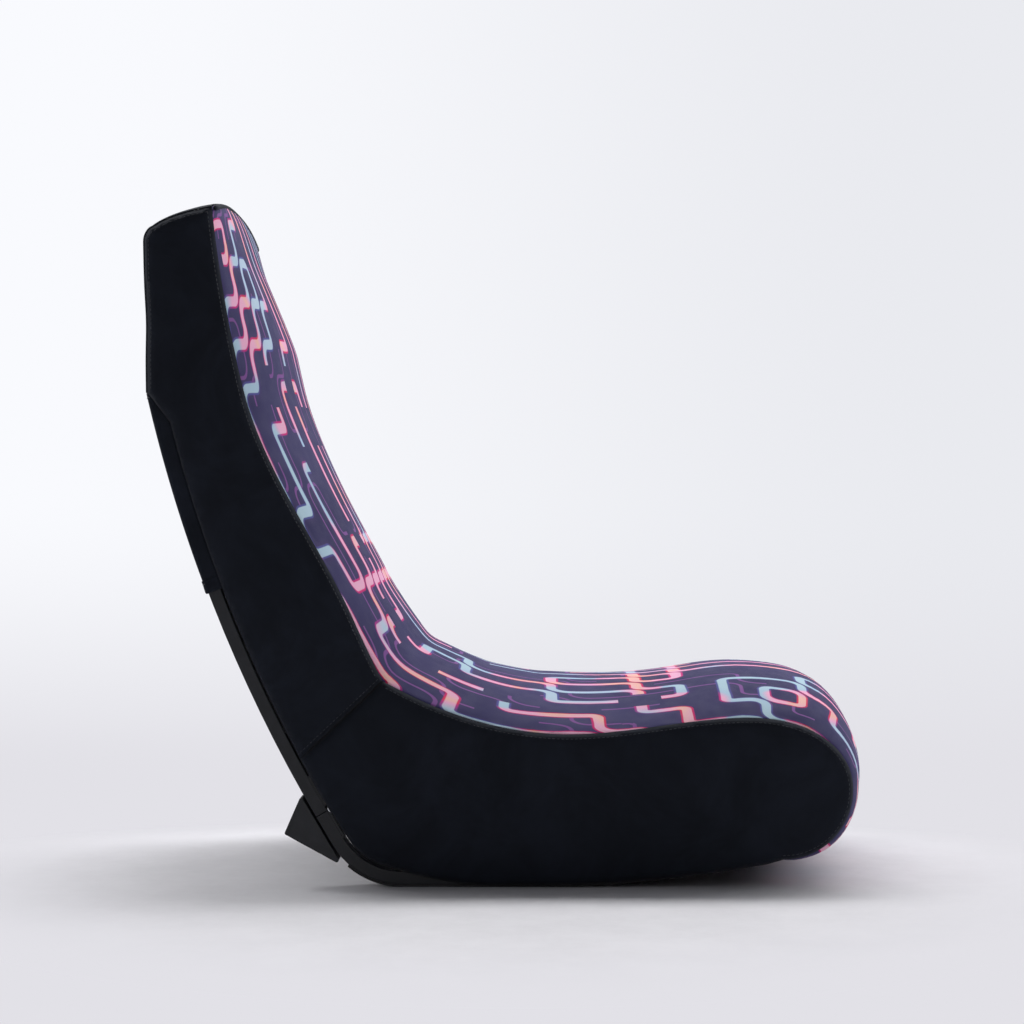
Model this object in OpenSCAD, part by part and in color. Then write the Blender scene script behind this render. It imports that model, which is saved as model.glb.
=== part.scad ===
// Folding floor rocker: an upholstered L-shaped cushion on two bent steel rails.
// The chair faces -Y, +Z is up, X runs across it. Millimetres.

/* [Overall] */
// Width across the side panels
chair_w = 425; // [390:5:480]

/* [Rails] */
// Width of the rail tube across the chair
rail_w = 28; // [24:1:34]
// Thickness of the rail tube from its inner to its outer face
rail_t = 13; // [11:0.5:16]
// Wall of the rail and cross tubes
rail_wall = 1.5; // [1:0.25:2.5]
// Gap between each rail and its side panel
rail_gap = 6; // [4:1:14]
// Lean of the rail from upright where it is cut
leg_lean = 30.5; // [28:0.5:33]
// Straight length of rail between the rear bend and the cut
leg_len = 33; // [28:1:45]
// Inside radius of the rear bend
bend_r = 69; // [64:1:80]
// Distance of the bend's centre behind the origin
bend_y = 116; // [108:1:124]
// Radius of the long bow of the back rails
bow_r = 1510; // [1400:10:1700]
// Length of each back rail along its bow
back_rail_len = 455; // [400:5:510]
// Flat length of the runners on the floor
flat_len = 152; // [130:2:180]
// Radius of the front rise of the runners
rocker_r = 900; // [800:20:1200]
// Length of the front rise of the runners
rocker_len = 206; // [190:2:210]
// Thickness of the glide strips
glide_t = 2.5; // [1.5:0.5:4]
// Angle below level, seen from the bend's centre, at which the glide strips start
glide_a = 49; // [40:1:60]

/* [Cross tubes] */
// Width of the cross tubes
cross_w = 25; // [20:1:30]
// Distance of the rear cross tube ahead of the bend
rear_cross_d = 56; // [45:1:70]
// Distance of the front cross tube behind the front end of the runners
front_cross_gap = 56; // [46:1:96]
// Distance of the middle back cross tube above the cut
mid_cross_s = 300; // [280:5:350]
// Thickness of the flange on the tube plugs
plug_flange_t = 2; // [1.5:0.5:3]
// Depth of the tube plugs
plug_len = 18; // [12:1:25]

/* [Hinges] */
// Radius of the hinge pins
pin_r = 2.5; // [2:0.25:3]
// Outer radius of the hinge knuckles
knuckle_r = 5; // [4.5:0.25:6]
// Thickness of the hinge leaves
leaf_t = 2; // [1.5:0.25:3]
// Length of the hinge leaf on each back rail
leaf_len = 40; // [30:1:50]
// Width of the middle knuckle
mid_knuckle_w = 10; // [8:0.5:12]

/* [Tipping feet] */
// Height of the foot's top above the cut, along the rail
foot_top = 27; // [20:1:32]
// Reach of the foot's toe below the cut, along the rail
foot_toe = 56; // [44:1:62]
// Height of the foot's heel above the cut, along the rail
foot_heel = 2; // [0:0.5:6]
// Reach of the foot's heel behind its front face
foot_reach = 34.5; // [28:0.5:40]
// Radius of the foot's corners
foot_round = 2; // [1.5:0.5:4]
// Gap between the foot and the rail
foot_gap = 2.5; // [2:0.25:4]
// Wall of the moulded foot
foot_wall = 3; // [2:0.25:4]
// Thickness of the foot bracket
bracket_t = 2; // [1.5:0.25:3]
// Length of the bracket on the back rail
bracket_len = 46; // [36:1:56]
// Radius of the foot screws
foot_screw_r = 2; // [1.5:0.25:2.5]

/* [Seat] */
// Height of the seat seam at its lowest
dip_h = 156.5; // [140:0.5:170]
// Distance of the lowest seat seam ahead of the origin
dip_d = 56; // [30:1:80]
// Height of the seat seam at its front crest
crest_h = 173.5; // [160:0.5:190]
// Distance of the crest ahead of the origin
crest_d = 240; // [225:1:255]
// Distance of the foremost seam ahead of the origin
nose_d = 346; // [330:1:360]
// Height of the foremost seam
nose_h = 100; // [90:1:110]
// Distance of the underside of the nose ahead of the seat board
chin_gap = 25.14; // [20:0.02:35]
// Height of the underside of the nose
chin_h = 28.5; // [26:0.5:34]
// Lowest height of the side panels above the floor
panel_floor = 2.3; // [1.5:0.1:5]
// Reach of the seat board ahead of the runners
board_lip = 10; // [8:1:16]
// Thickness of the seat board
seat_board_t = 9; // [6:0.5:12]
// Inset of the boards from the rail's outer face
board_inset = 12; // [8:1:20]
// Radius of the seat bolts
bolt_r = 3; // [2.5:0.5:4]
// Distance of the seat bolts from the middle
bolt_x = 140; // [110:5:150]

/* [Back] */
// Length of the head above the kink under it, along the rail's bow
head_len = 180; // [160:2:210]
// Distance of the crease above the cut, along the rail's bow
crease_s = 93; // [85:1:105]
// Distance at which the crease meets the rail
crease_rail_s = 60; // [50:1:70]
// Depth of the lower back from rail to seam
lumbar_t = 114; // [100:1:125]
// Depth of the neck from rail to seam
neck_t = 83.5; // [70:0.5:95]
// Distance above the cut at which the lower back starts to thin
lumbar_s = 170; // [140:5:200]
// Distance above the cut at which the neck is reached
neck_s = 450; // [400:5:460]
// Thickness of the back board
back_board_t = 9; // [6:0.5:9]
// Height of the back board above the top of the back rails
board_rise = 105; // [70:5:115]
// Distance above the cut of the hem of the pocket
hem_s = 253; // [230:1:270]
// Height of the pocket's hem
hem_w = 14; // [8:1:20]
// Distance of the kink under the head above the top of the back rails
kink_gap = 11; // [9:1:20]
// Fall of the head's top from front to rear, along the bow
head_fall = 17; // [10:1:25]
// Depth of the head's rear face ahead of the rail, at its top
head_rear_t = 10; // [4:1:16]
// Radius of the rear top corner of the head
head_round = 15; // [8:1:20]

/* [Crown] */
// Height of the crown over the side seams, at the lower back
back_crown = 38; // [25:0.5:45]
// Height of the crown at the neck
neck_crown = 42.5; // [25:0.5:50]
// Height of the crown at the head's front top edge
head_crown = 6; // [4:0.5:15]
// Height of the crown in the crease
crease_crown = 51.5; // [40:0.5:60]
// Height of the crown at the lowest place of the seat
dip_crown = 48; // [30:0.5:55]
// Height of the crown over the middle of the seat
seat_crown = 40.5; // [30:0.5:55]
// Height of the crown at the seat's front crest
crest_crown = 45.5; // [30:0.5:55]
// Extra height of the crown over the brow of the nose
brow_swell = 7.5; // [0:0.5:12]
// Height of the crown at the foremost point
nose_crown = 22; // [15:0.5:40]
// Extra height of the crown under the foremost point
chin_swell = 3; // [0:0.5:8]
// Height of the crown at the underside of the nose
chin_crown = 12; // [6:0.5:16]
// Rise of the head's top edge in the middle
head_arch = 16; // [8:1:22]
// Squareness of the crown: 2 is an ellipse-like arc, more is flatter
crown_power = 2.4; // [2:0.1:3.5]

/* [Fabric] */
// Thickness of the side panels
panel_t = 2.5; // [1.5:0.25:4]
// Thickness of the printed cover
cover_t = 2; // [1:0.25:3]
// Thickness of the plain rear fabrics
cloth_t = 1.5; // [1:0.25:2]
// Thickness of the dust cover under the seat board
dust_t = 0.8; // [0.5:0.1:1.5]

/* [Hidden] */

$fn = 48;
// Gap between two soft pieces, or between two pieces that move past each other
lay_gap = 0.3;
// Radial clearance of the hinge pins and bolts, and of a leaf on its rail
fit_gap = 0.05;
// Clearance of the plugs in the curved tubes
plug_gap = 0.25;
// Gap between neighbouring knuckles and between the cut ends
cut_gap = 0.4;
// Clearance of a hole that a screw or bolt only passes through
hole_play = 0.3;
// Length by which a cutting tool runs past the face it cuts
over = 1;
// Points of an arc stand at multiples of this turn
arc_step = 6;
// Points of the back's bow stand at multiples of this length
bow_step = 30;
// Points of the front rise stand at multiples of this length
rise_step = 27;

half_w = chair_w / 2;
foam_x = half_w - panel_t - lay_gap;
rail_x1 = half_w - panel_t - rail_gap;
rail_x0 = rail_x1 - rail_w;
board_x = rail_x1 - board_inset;
front_cross_d = rocker_len - front_cross_gap;
board_front_d = rocker_len + board_lip;
kink_s = back_rail_len + kink_gap;
head_s = kink_s + head_len;
back_board_s = back_rail_len + board_rise;
steel = [0.16, 0.16, 0.18];
zinc = [0.7, 0.7, 0.72];
rubber = [0.06, 0.06, 0.065];
plastic = [0.14, 0.145, 0.16];
suede = [0.07, 0.075, 0.09];
print = [0.33, 0.32, 0.45];
foam = [0.85, 0.82, 0.7];
ply = [0.75, 0.6, 0.42];

// ---- Side view: points are [y, z] ----

function heading(a) = [cos(a), sin(a)];
function polar(c, r, a) = c + r * heading(a);
function angle(v) = atan2(v.y, v.x);
function smooth(u) = let (v = min(1, max(0, u))) v * v * (3 - 2 * v);
function mix(a, b, u) = a + (b - a) * u;
function reversed(v) = [for (i = [len(v) - 1:-1:0]) v[i]];
function band(outer, inner) = concat(outer, reversed(inner));
function count_up(v) = [for (i = [1:len(v)]) i];
function band_ranks(v) = band(count_up(v), count_up(v));

// From a to b by way of the multiples of step between them
function marks(a, b, step) =
    a > b ? reversed(marks(b, a, step))
    : concat([a], [for (k = [floor(a / step) + 1:1:ceil(b / step) - 1]) k * step], [b]);
function arc(c, r, a0, a1) = [for (a = marks(a0, a1, arc_step)) polar(c, r, a)];

// Rounds the corner p of an outline that comes from a and goes to b
function corner(a, p, b, r) =
    let (d0 = (a - p) / norm(a - p), d1 = (b - p) / norm(b - p), k = norm(d0 + d1) / 2,
        c = p + (d0 + d1) / (2 * k) * r / sqrt(1 - k * k), turn = sign(cross(d1, d0)),
        w0 = angle(d0) + 90 * turn, w1 = w0 + turn * (180 - acos(d0 * d1)))
    [for (w = marks(w0, w1, arc_step)) polar(c, r, w)];
function rounded(v, r) =
    let (n = len(v)) [for (i = [0:n - 1]) each corner(v[(i + n - 1) % n], v[i], v[(i + 1) % n], r)];

// The rail's inner face is the reference. t is the depth from it towards the cushion and is
// negative behind it; s runs up the back and u straight up the leg, both from the cut.
up = heading(90 - leg_lean);
ahead = heading(180 - leg_lean);
bend_c = [bend_y, bend_r + rail_t + glide_t];
cut_pt = polar(bend_c, bend_r, -leg_lean) + leg_len * up;
bow_c = polar(cut_pt, -bow_r, -leg_lean);
rocker_c = [bend_y - flat_len, rocker_r];
rocker_in_r = rocker_r - rail_t - glide_t;

function bow_angle(s) = s / bow_r * 180 / PI - leg_lean;
function back_pt(s, t) = polar(bow_c, bow_r - t, bow_angle(s));
function leg_pt(u, t) = cut_pt + u * up + t * ahead;
function rise_angle(d) = -90 - d / rocker_in_r * 180 / PI;
function rise_pt(d, t) = polar(rocker_c, rocker_in_r - t, rise_angle(d));
function flat_pt(d, t) = [bend_y - d, glide_t + rail_t + t];
function back_line(s0, s1, t) = [for (s = marks(s0, s1, bow_step)) back_pt(s, t)];
function rise_line(d1, t) = [for (d = marks(0, d1, rise_step)) rise_pt(d, t)];

// A line at depth t round the rear bend from angle a, along the flat and up the front rise
function runner_line(a, d1, t) = concat(arc(bend_c, bend_r - t, a, -90), rise_line(d1, t));
function base_line(past, t) =
    concat([leg_pt(past, t)], runner_line(-leg_lean, rocker_len + max(past, 0), t));

// ---- Side view of the upholstery ----

nose_stations = 10;
// Direction in which the crown rises in the crease
crease_dir = 132;
// Length over which that direction and the crease's crown fade out, up the back and along the seat
crease_fade = 100;
// Distance above the kink at which the back's crown starts to fall towards the head
head_fade = 24;
head_fade_s = kink_s + head_fade;
// Squareness of that fall
head_fade_power = 1.25;
// Distance above the cut at which the crown starts to grow towards the neck, and its reach
nape_s = 250;
nape_reach = 150;
// Distance of the middle of the seat ahead of the origin, and the reach of the dip behind it
seat_mid_d = 160;
dip_reach = 130;
// Squareness of the crown's fall over the brow and under the chin
brow_power = 2.3;
chin_power = 3;
// Places of the swells as parts of their quarters, and their reach
brow_swell_u = 0.4;
chin_swell_u = 0.5;
swell_reach = 0.19;
// Length below the head's top over which its middle rises
arch_fade = 60;
// Squareness of the nose: 2 is an ellipse
nose_power = 2.1;
// Length of cover that lies flat under the nose
chin_flat = 17;
// Direction of the cover where it turns up to the board
tuck_dir = 300;

function seam_t(s) =
    mix(lumbar_t, neck_t, smooth((s - lumbar_s) / (neck_s - lumbar_s)));
crease_pt = back_pt(crease_s, seam_t(crease_s));
function seat_z(y) =
    y > -dip_d
    ? dip_h + (crease_pt.y - dip_h) * pow((y + dip_d) / (crease_pt.x + dip_d), 2)
    : mix(dip_h, crest_h, smooth((-dip_d - y) / (crest_d - dip_d)));
function seat_normal(y) = 90 + atan((seat_z(y + over) - seat_z(y)) / over);

// A station is a seam point with the rise of the cushion's middle above it
function station(p, rise) = [p, rise];
function back_crown_at(s) =
    let (fall = pow(max(0, (s - head_fade_s) / (head_s - head_fade_s)), head_fade_power))
    mix(mix(back_crown, neck_crown, smooth((s - nape_s) / nape_reach)), head_crown, fall);
function seat_crown_at(y) =
    seat_crown + (dip_crown - seat_crown) * smooth((y + seat_mid_d) / dip_reach)
        + (crest_crown - seat_crown) * smooth((-seat_mid_d - y) / (crest_d - seat_mid_d));
function back_rise(s) =
    let (near = smooth((crease_s + crease_fade - s) / crease_fade),
        crown = back_crown_at(s),
        arch = head_arch * smooth((s - head_s + arch_fade) / arch_fade))
    mix(crown, crease_crown, near) * heading(mix(180 + bow_angle(s), crease_dir, near))
        + [0, arch];
function seat_rise(y) =
    let (near = smooth((y - crease_pt.x + crease_fade) / crease_fade))
    mix(seat_crown_at(y), crease_crown, near) * heading(mix(seat_normal(y), crease_dir, near));

function back_run(s0, s1, n) =
    [for (i = [0:n]) let (s = mix(s0, s1, i / n)) station(back_pt(s, seam_t(s)), back_rise(s))];
function seat_run(y0, y1, n) =
    [for (i = [0:n]) let (y = mix(y0, y1, i / n)) station([y, seat_z(y)], seat_rise(y))];

// The foam is cut into blocks at these places. The two at the fold keep the back's foam within
// fold_back_a of the rail and the seat's beyond fold_seat_a, as seen from the hinge pin.
fold_back_a = 35;
fold_seat_a = 95;
fold_margin = 16;
// Distance of the cut in the foam above the kink
head_cut = 14;
head_cut_s = kink_s + head_cut;
pin_t = knuckle_r + lay_gap;
pin_pt = leg_pt(0, pin_t);
fold_depth = lumbar_t + back_crown - pin_t;
fold_s = bow_r * (tan(fold_back_a) - sqrt(pow(tan(fold_back_a), 2) - 2 * fold_depth / bow_r))
    + fold_margin;
fold_y = pin_pt.x - (dip_h + dip_crown - pin_pt.y) / tan(90 + leg_lean - fold_seat_a) - fold_margin;
half_cut = cut_gap / 2;
head_print = back_run(head_s, head_cut_s + half_cut, 8);
back_print = back_run(head_cut_s - half_cut, fold_s + half_cut, 10);
lumbar_print = back_run(fold_s - half_cut, crease_s + over, 6);
crease_print = seat_run(crease_pt.x, fold_y + half_cut, 9);
seat_print = seat_run(fold_y - half_cut, -crest_d, 8);

// Quarter of a nose about c with half axes h, from angle a0
function swell(u, at) = exp(-pow((u - at) / swell_reach, 2));
function brow_crown_at(u) =
    mix(crest_crown, nose_crown, pow(u, brow_power)) + brow_swell * swell(u, brow_swell_u);
function chin_crown_at(u) =
    mix(nose_crown, chin_crown, pow(u, chin_power)) + chin_swell * swell(u, chin_swell_u);
function nose_quarter(c, h, a0, power, crowns) =
    [for (i = [1:nose_stations])
        let (w = heading(a0 + 90 * i / nose_stations), q = 2 / power,
            p = [sign(w.x) * pow(abs(w.x), q) * h.x, sign(w.y) * pow(abs(w.y), q) * h.y],
            out = [w.x / h.x, w.y / h.y])
        station(c + p, crowns[i] * out / norm(out))];
chin_d = chin_gap - rise_pt(board_front_d, 0).x;
brow_print = nose_quarter([-crest_d, nose_h], [nose_d - crest_d, crest_h - nose_h], 90,
    nose_power, [for (i = [0:nose_stations]) brow_crown_at(i / nose_stations)]);
chin_print = nose_quarter([-chin_d, nose_h], [nose_d - chin_d, nose_h - chin_h], 180, 2,
    [for (i = [0:nose_stations]) chin_crown_at(i / nose_stations)]);
chin_end = [chin_flat - chin_d, chin_h];
tuck_pt = rise_pt(board_front_d + lay_gap, -cover_t - lay_gap);
tuck_print = [station(chin_end, [0, -chin_crown]), station(tuck_pt, over * heading(tuck_dir))];
back_seam = concat(head_print, back_print, lumbar_print);
seat_seam = concat(crease_print, seat_print, brow_print, chin_print);
print_stations = concat(back_seam, seat_seam, tuck_print);

// The head's rear face runs straight up from the kink and rounds into the sloping top
rear_t = -rail_t - lay_gap - cloth_t;
kink_pt = back_pt(kink_s, rear_t);
rear_corner = back_pt(head_s - head_fall, head_rear_t);
head_front = back_pt(head_s, seam_t(head_s));
rear_dir = (rear_corner - kink_pt) / norm(rear_corner - kink_pt);
top_dir = (head_front - rear_corner) / norm(head_front - rear_corner);
top_stations = 4;
// Part of the head's arch that its rear edge already has
rear_arch = 0.5;
function inward(d) = [-d.y, d.x];
function head_arc(t) =
    [for (p = corner(kink_pt, rear_corner, head_front, head_round))
        let (c = rear_corner + head_round * (inward(rear_dir) + inward(top_dir))
            / (1 + rear_dir * top_dir)) c + (p - c) * (head_round - t) / head_round];
function head_top(t) =
    let (start = rear_corner + top_dir * (head_round + over), end = head_front - top_dir * (cover_t + over))
    [for (i = [1:top_stations]) mix(start, end, i / top_stations) + t * inward(top_dir)];
function head_line(t) = concat([kink_pt + t * inward(rear_dir)], head_arc(t), head_top(t));
function head_rise(p) =
    let (along = (p - rear_corner) * top_dir / norm(head_front - rear_corner))
    [0, p.y < rear_corner.y - 2 * head_round ? 0 : head_arch * mix(rear_arch, 1, smooth(along))];
function head_stations(t) = [for (p = head_line(t)) station(p, head_rise(p))];

// ---- Lofts across the width ----

// Places across, from one side seam over the middle to the other
across = [-1, -0.96, -0.87, -0.7, -0.45, -0.2, 0.2, 0.45, 0.7, 0.87, 0.96, 1];
function crown_at(v) = 1 - pow(abs(v), crown_power);
function raised(stations, v, off) =
    [for (q = stations) q[0] + q[1] * crown_at(v) + (norm(q[1]) > 0 ? off * q[1] / norm(q[1]) : [0, 0])];

// Skins closed outlines of equal length, one at each place across. The ends are closed by fans
// about the hub, a point that sees the whole outline, or else as strips from edge to edge.
// Each quad is split from its lower rank to its higher one, so that two skins that lie against
// each other are split alike.
module loft(outlines, ranks, hub = undef) {
    n = len(outlines[0]);
    m = len(across);
    skin = [for (j = [0:m - 1]) for (p = outlines[j]) [across[j] * foam_x, p.x, p.y]];
    hubs = is_undef(hub) ? [] : [[-foam_x, hub.x, hub.y], [foam_x, hub.x, hub.y]];
    sides = [for (j = [0:m - 2]) for (i = [0:n - 1])
        let (k = (i + 1) % n, a = j * n + i, b = j * n + k)
        each ranks[i] < ranks[k] ? [[a, b + n, b], [a, a + n, b + n]]
            : [[a, a + n, b], [a + n, b + n, b]]];
    first = is_undef(hub)
        ? [for (i = [0:n / 2 - 2]) each [[i, i + 1, n - 2 - i], [i, n - 2 - i, n - 1 - i]]]
        : [for (i = [0:n - 1]) [m * n, i, (i + 1) % n]];
    last = [for (f = first) [for (k = reversed(f)) k == m * n ? k + 1 : k + (m - 1) * n]];
    polyhedron(points = concat(skin, hubs), faces = concat(first, last, sides), convexity = 6);
}

// A flat piece cut to a side-view outline, between two places across
module slab(x0, x1, outline) {
    translate([x0, 0, 0]) rotate([90, 0, 90]) linear_extrude(x1 - x0) polygon(outline);
}

module at_side(side) {
    if (side > 0) children();
    else mirror([1, 0, 0]) children();
}

// Stands a piece at a point of the side view, turned about X
module stand(p, turn) {
    translate([0, p.x, p.y]) rotate([turn, 0, 0]) children();
}

// A rod across the chair
module rod(p, x0, x1, r) {
    stand(p, 0) translate([x0, 0, 0]) rotate([0, 90, 0]) cylinder(h = x1 - x0, r = r);
}

// ---- Base frame ----

module base_rail(side) {
    color(steel) at_side(side) difference() {
        slab(rail_x0, rail_x1, band(base_line(-cut_gap / 2, -rail_t), base_line(-cut_gap / 2, 0)));
        slab(rail_x0 + rail_wall, rail_x1 - rail_wall,
            band(base_line(over, rail_wall - rail_t), base_line(over, -rail_wall)));
    }
}

module glide_strip(side) {
    color(rubber) at_side(side) slab(rail_x0, rail_x1, band(
        runner_line(-glide_a, rocker_len, -rail_t - glide_t),
        runner_line(-glide_a, rocker_len, -rail_t)));
}

// A hollow tube across the chair, with its top face at z = 0
module cross_tube() {
    difference() {
        translate([-rail_x0, -cross_w / 2, -rail_t]) cube([2 * rail_x0, cross_w, rail_t]);
        translate([-rail_x0 - over, rail_wall - cross_w / 2, rail_wall - rail_t])
            cube([2 * (rail_x0 + over), cross_w - 2 * rail_wall, rail_t - 2 * rail_wall]);
    }
}

head_h = 4;
head_r = bolt_r + 2;
access_r = head_r + 1;

module bolt_places() {
    for (x = [-bolt_x, bolt_x]) translate([x, 0, 0]) children();
}

module drilled_cross_tube() {
    difference() {
        cross_tube();
        bolt_places() {
            translate([0, 0, -rail_wall - over]) cylinder(h = rail_wall + 2 * over, r = bolt_r + hole_play);
            translate([0, 0, -rail_t - over]) cylinder(h = rail_wall + 2 * over, r = access_r);
        }
    }
}

module at_rear_cross() {
    stand(flat_pt(rear_cross_d, 0), 0) children();
}

module at_front_cross() {
    stand(rise_pt(front_cross_d, 0), rise_angle(front_cross_d) + 90) children();
}

module base_cross_rear() {
    color(steel) at_rear_cross() drilled_cross_tube();
}

module base_cross_front() {
    color(steel) at_front_cross() drilled_cross_tube();
}

// A plug in the end of a rail: z = 0 is the end face and the tube lies below it
module rail_plug() {
    fit = rail_wall + plug_gap;
    translate([rail_x0, -rail_t, 0]) cube([rail_w, rail_t, plug_flange_t]);
    translate([rail_x0 + fit, fit - rail_t, -plug_len])
        cube([rail_w - 2 * fit, rail_t - 2 * fit, plug_len + plug_flange_t]);
}

module runner_plugs() {
    color(rubber) for (side = [1, -1]) at_side(side)
        stand(rise_pt(rocker_len, 0), rise_angle(rocker_len) + 180) rail_plug();
}

// ---- Hinges ----

pin_head_r = pin_r + 1.5;
pin_head_t = 1.5;
mid_x0 = (rail_x0 + rail_x1 - mid_knuckle_w) / 2;
mid_x1 = mid_x0 + mid_knuckle_w;
// Distance from the cut at which a leaf clears the other leaf's knuckles
leaf_start = knuckle_r + lay_gap;

// The strip that joins a knuckle to its leaf
module knuckle_arm(x0, x1, u1) {
    slab(x0, x1, [leg_pt(0, lay_gap), leg_pt(u1, lay_gap), leg_pt(u1, leaf_t), leg_pt(0, leaf_t)]);
}

module hinge_leaf_base(side) {
    color(steel) at_side(side) difference() {
        union() {
            slab(rail_x0, rail_x1, [leg_pt(-leaf_start, 0), leg_pt(over - leg_len, 0),
                leg_pt(over - leg_len, leaf_t), leg_pt(-leaf_start, leaf_t)]);
            for (x = [[rail_x0, mid_x0 - cut_gap], [mid_x1 + cut_gap, rail_x1]]) {
                knuckle_arm(x[0], x[1], -leaf_start - over);
                rod(pin_pt, x[0], x[1], knuckle_r);
            }
        }
        rod(pin_pt, rail_x0 - over, rail_x1 + over, pin_r + fit_gap);
    }
}

module hinge_leaf_back(side) {
    color(steel) at_side(side) difference() {
        union() {
            slab(rail_x0, rail_x1, band(back_line(leaf_start, leaf_len, fit_gap),
                back_line(leaf_start, leaf_len, leaf_t)));
            knuckle_arm(mid_x0, mid_x1, leaf_start + over);
            rod(pin_pt, mid_x0, mid_x1, knuckle_r);
        }
        rod(pin_pt, rail_x0 - over, rail_x1 + over, pin_r + fit_gap);
    }
}

module hinge_pins() {
    color(zinc) for (side = [1, -1]) at_side(side) {
        rod(pin_pt, rail_x0 - pin_head_t, rail_x1 + pin_head_t, pin_r);
        rod(pin_pt, rail_x0 - pin_head_t, rail_x0, pin_head_r);
        rod(pin_pt, rail_x1, rail_x1 + pin_head_t, pin_head_r);
    }
}

// ---- Seat board and its fastenings ----

board_low_t = dust_t;
board_top_t = dust_t + seat_board_t;
// Distance of the board's rear edge ahead of the bend
board_rear_d = 31;
nut_r = bolt_r + 1.3;
nut_flange_r = nut_r + 4;
nut_flange_t = 1.2;

function board_line(t) =
    concat([flat_pt(board_rear_d, t)], rise_line(rocker_len, t), [rise_pt(board_front_d, t)]);

module at_cross_bolts() {
    at_rear_cross() bolt_places() children();
    at_front_cross() bolt_places() children();
}

module seat_board() {
    color(ply) difference() {
        slab(-board_x, board_x, band(board_line(board_low_t), board_line(board_top_t)));
        at_cross_bolts() {
            cylinder(h = board_top_t + over, r = nut_r + hole_play);
            translate([0, 0, board_top_t - nut_flange_t - hole_play])
                cylinder(h = nut_flange_t + over, r = nut_flange_r + hole_play);
        }
    }
}

module dust_cover() {
    color(rubber) difference() {
        slab(-board_x, board_x, band(board_line(0), board_line(dust_t)));
        at_cross_bolts() translate([0, 0, -over]) cylinder(h = dust_t + 2 * over, r = nut_r + hole_play);
    }
}

module seat_bolts() {
    color(zinc) at_cross_bolts() translate([0, 0, -rail_wall]) {
        cylinder(h = rail_wall + board_top_t - lay_gap, r = bolt_r);
        translate([0, 0, -head_h]) cylinder(h = head_h, r = head_r);
    }
}

module seat_tee_nuts() {
    color(zinc) at_cross_bolts() difference() {
        union() {
            translate([0, 0, lay_gap]) cylinder(h = board_top_t - 2 * lay_gap, r = nut_r);
            translate([0, 0, board_top_t - nut_flange_t - lay_gap])
                cylinder(h = nut_flange_t, r = nut_flange_r);
        }
        cylinder(h = board_top_t, r = bolt_r + fit_gap);
    }
}

// The black fabric that closes the rear and bottom of the seat cushion
under_t = 2 * knuckle_r + 3 * lay_gap;
under_a = -104;
function under_line(t) = concat([leg_pt(-lay_gap, t)], arc(bend_c, bend_r - t, -leg_lean, under_a));

module under_panel() {
    edge = cloth_t + lay_gap;
    color(suede) slab(-foam_x, foam_x, concat(
        under_line(under_t), [flat_pt(board_rear_d - edge, board_low_t), flat_pt(board_rear_d, board_low_t),
            flat_pt(board_rear_d, board_top_t)], reversed(under_line(under_t + cloth_t))));
}

// ---- Foam blocks under the cover ----

lining_t = leaf_t + lay_gap;
back_board_low_t = lining_t + cloth_t;
back_foam_t = back_board_low_t + back_board_t + lay_gap;
seat_foam_t = under_t + cloth_t;
// Distances above and below the cut of the lower ends of the back's, corner's and seat's foam
back_foam_s = 14;
corner_foam_s = 12;
seat_foam_u = -1.5;
head_foam_top = head_stations(cloth_t + lay_gap);
entry_pt = kink_pt + rear_dir * norm(back_pt(back_board_s, rear_t) - kink_pt)
    + (cloth_t + lay_gap) * inward(rear_dir);

// Foam from a run of the printed surface back to the given rear outline, about a hub inside it
module foam_block(hub, run, rear, top = []) {
    color(foam) loft([for (v = across)
        concat(raised(run, v, -cover_t - lay_gap), rear, raised(top, v, 0))],
        concat(count_up(run), [for (p = rear) 0], top == [] ? [] : count_up(top)), hub);
}

module head_foam() {
    foam_block(back_pt((head_cut_s + head_s) / 2, neck_t / 2), head_print,
        concat(back_line(head_cut_s + half_cut, back_board_s + lay_gap, back_foam_t),
            [back_pt(back_board_s + lay_gap, back_board_low_t - lay_gap), entry_pt]),
        [for (i = [1:len(head_foam_top) - 2]) head_foam_top[i]]);
}

module back_foam() {
    foam_block(back_pt((fold_s + back_foam_s) / 2 + bow_step * 4, lumbar_t / 2), back_print,
        back_line(back_foam_s, head_cut_s - half_cut, back_foam_t));
}

module corner_foam() {
    foam_block(leg_pt(crease_s / 3, lumbar_t * 0.6), concat(lumbar_print, crease_print),
        [leg_pt(0, seat_foam_t), back_pt(corner_foam_s, back_foam_t)]);
}

module seat_foam() {
    foam_block([-(crest_d + chin_d) / 2, nose_h], concat(seat_print, brow_print, chin_print, tuck_print),
        concat(reversed(board_line(board_top_t)),
            reversed(arc(bend_c, bend_r - seat_foam_t, -leg_lean, under_a)),
            [leg_pt(seat_foam_u, seat_foam_t)]));
}

module printed_cover() {
    color(print) loft([for (v = across)
        band(raised(print_stations, v, 0), raised(print_stations, v, -cover_t))],
        band_ranks(print_stations));
}

// ---- Side panels ----

// The panel's bottom edge is a long shallow sweep, then rises to the heel by the rear bend
sweep_r = 1250;
sweep_y = -27;
heel_y = 18;
heel_t = 4.5;
heel_a = -76;
low_pieces = 12;
edge_t = 1.2;
heel_end = polar(bend_c, bend_r - heel_t, heel_a);
function low_z(y) =
    panel_floor + (y < sweep_y ? pow(y - sweep_y, 2) / (2 * sweep_r)
        : y < heel_y ? 0 : (heel_end.y - panel_floor) * pow((y - heel_y) / (heel_end.x - heel_y), 2));
panel_low = [for (i = [0:low_pieces - 1])
    let (y = mix(chin_end.x, heel_end.x, i / low_pieces)) [y, low_z(y)]];

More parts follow.
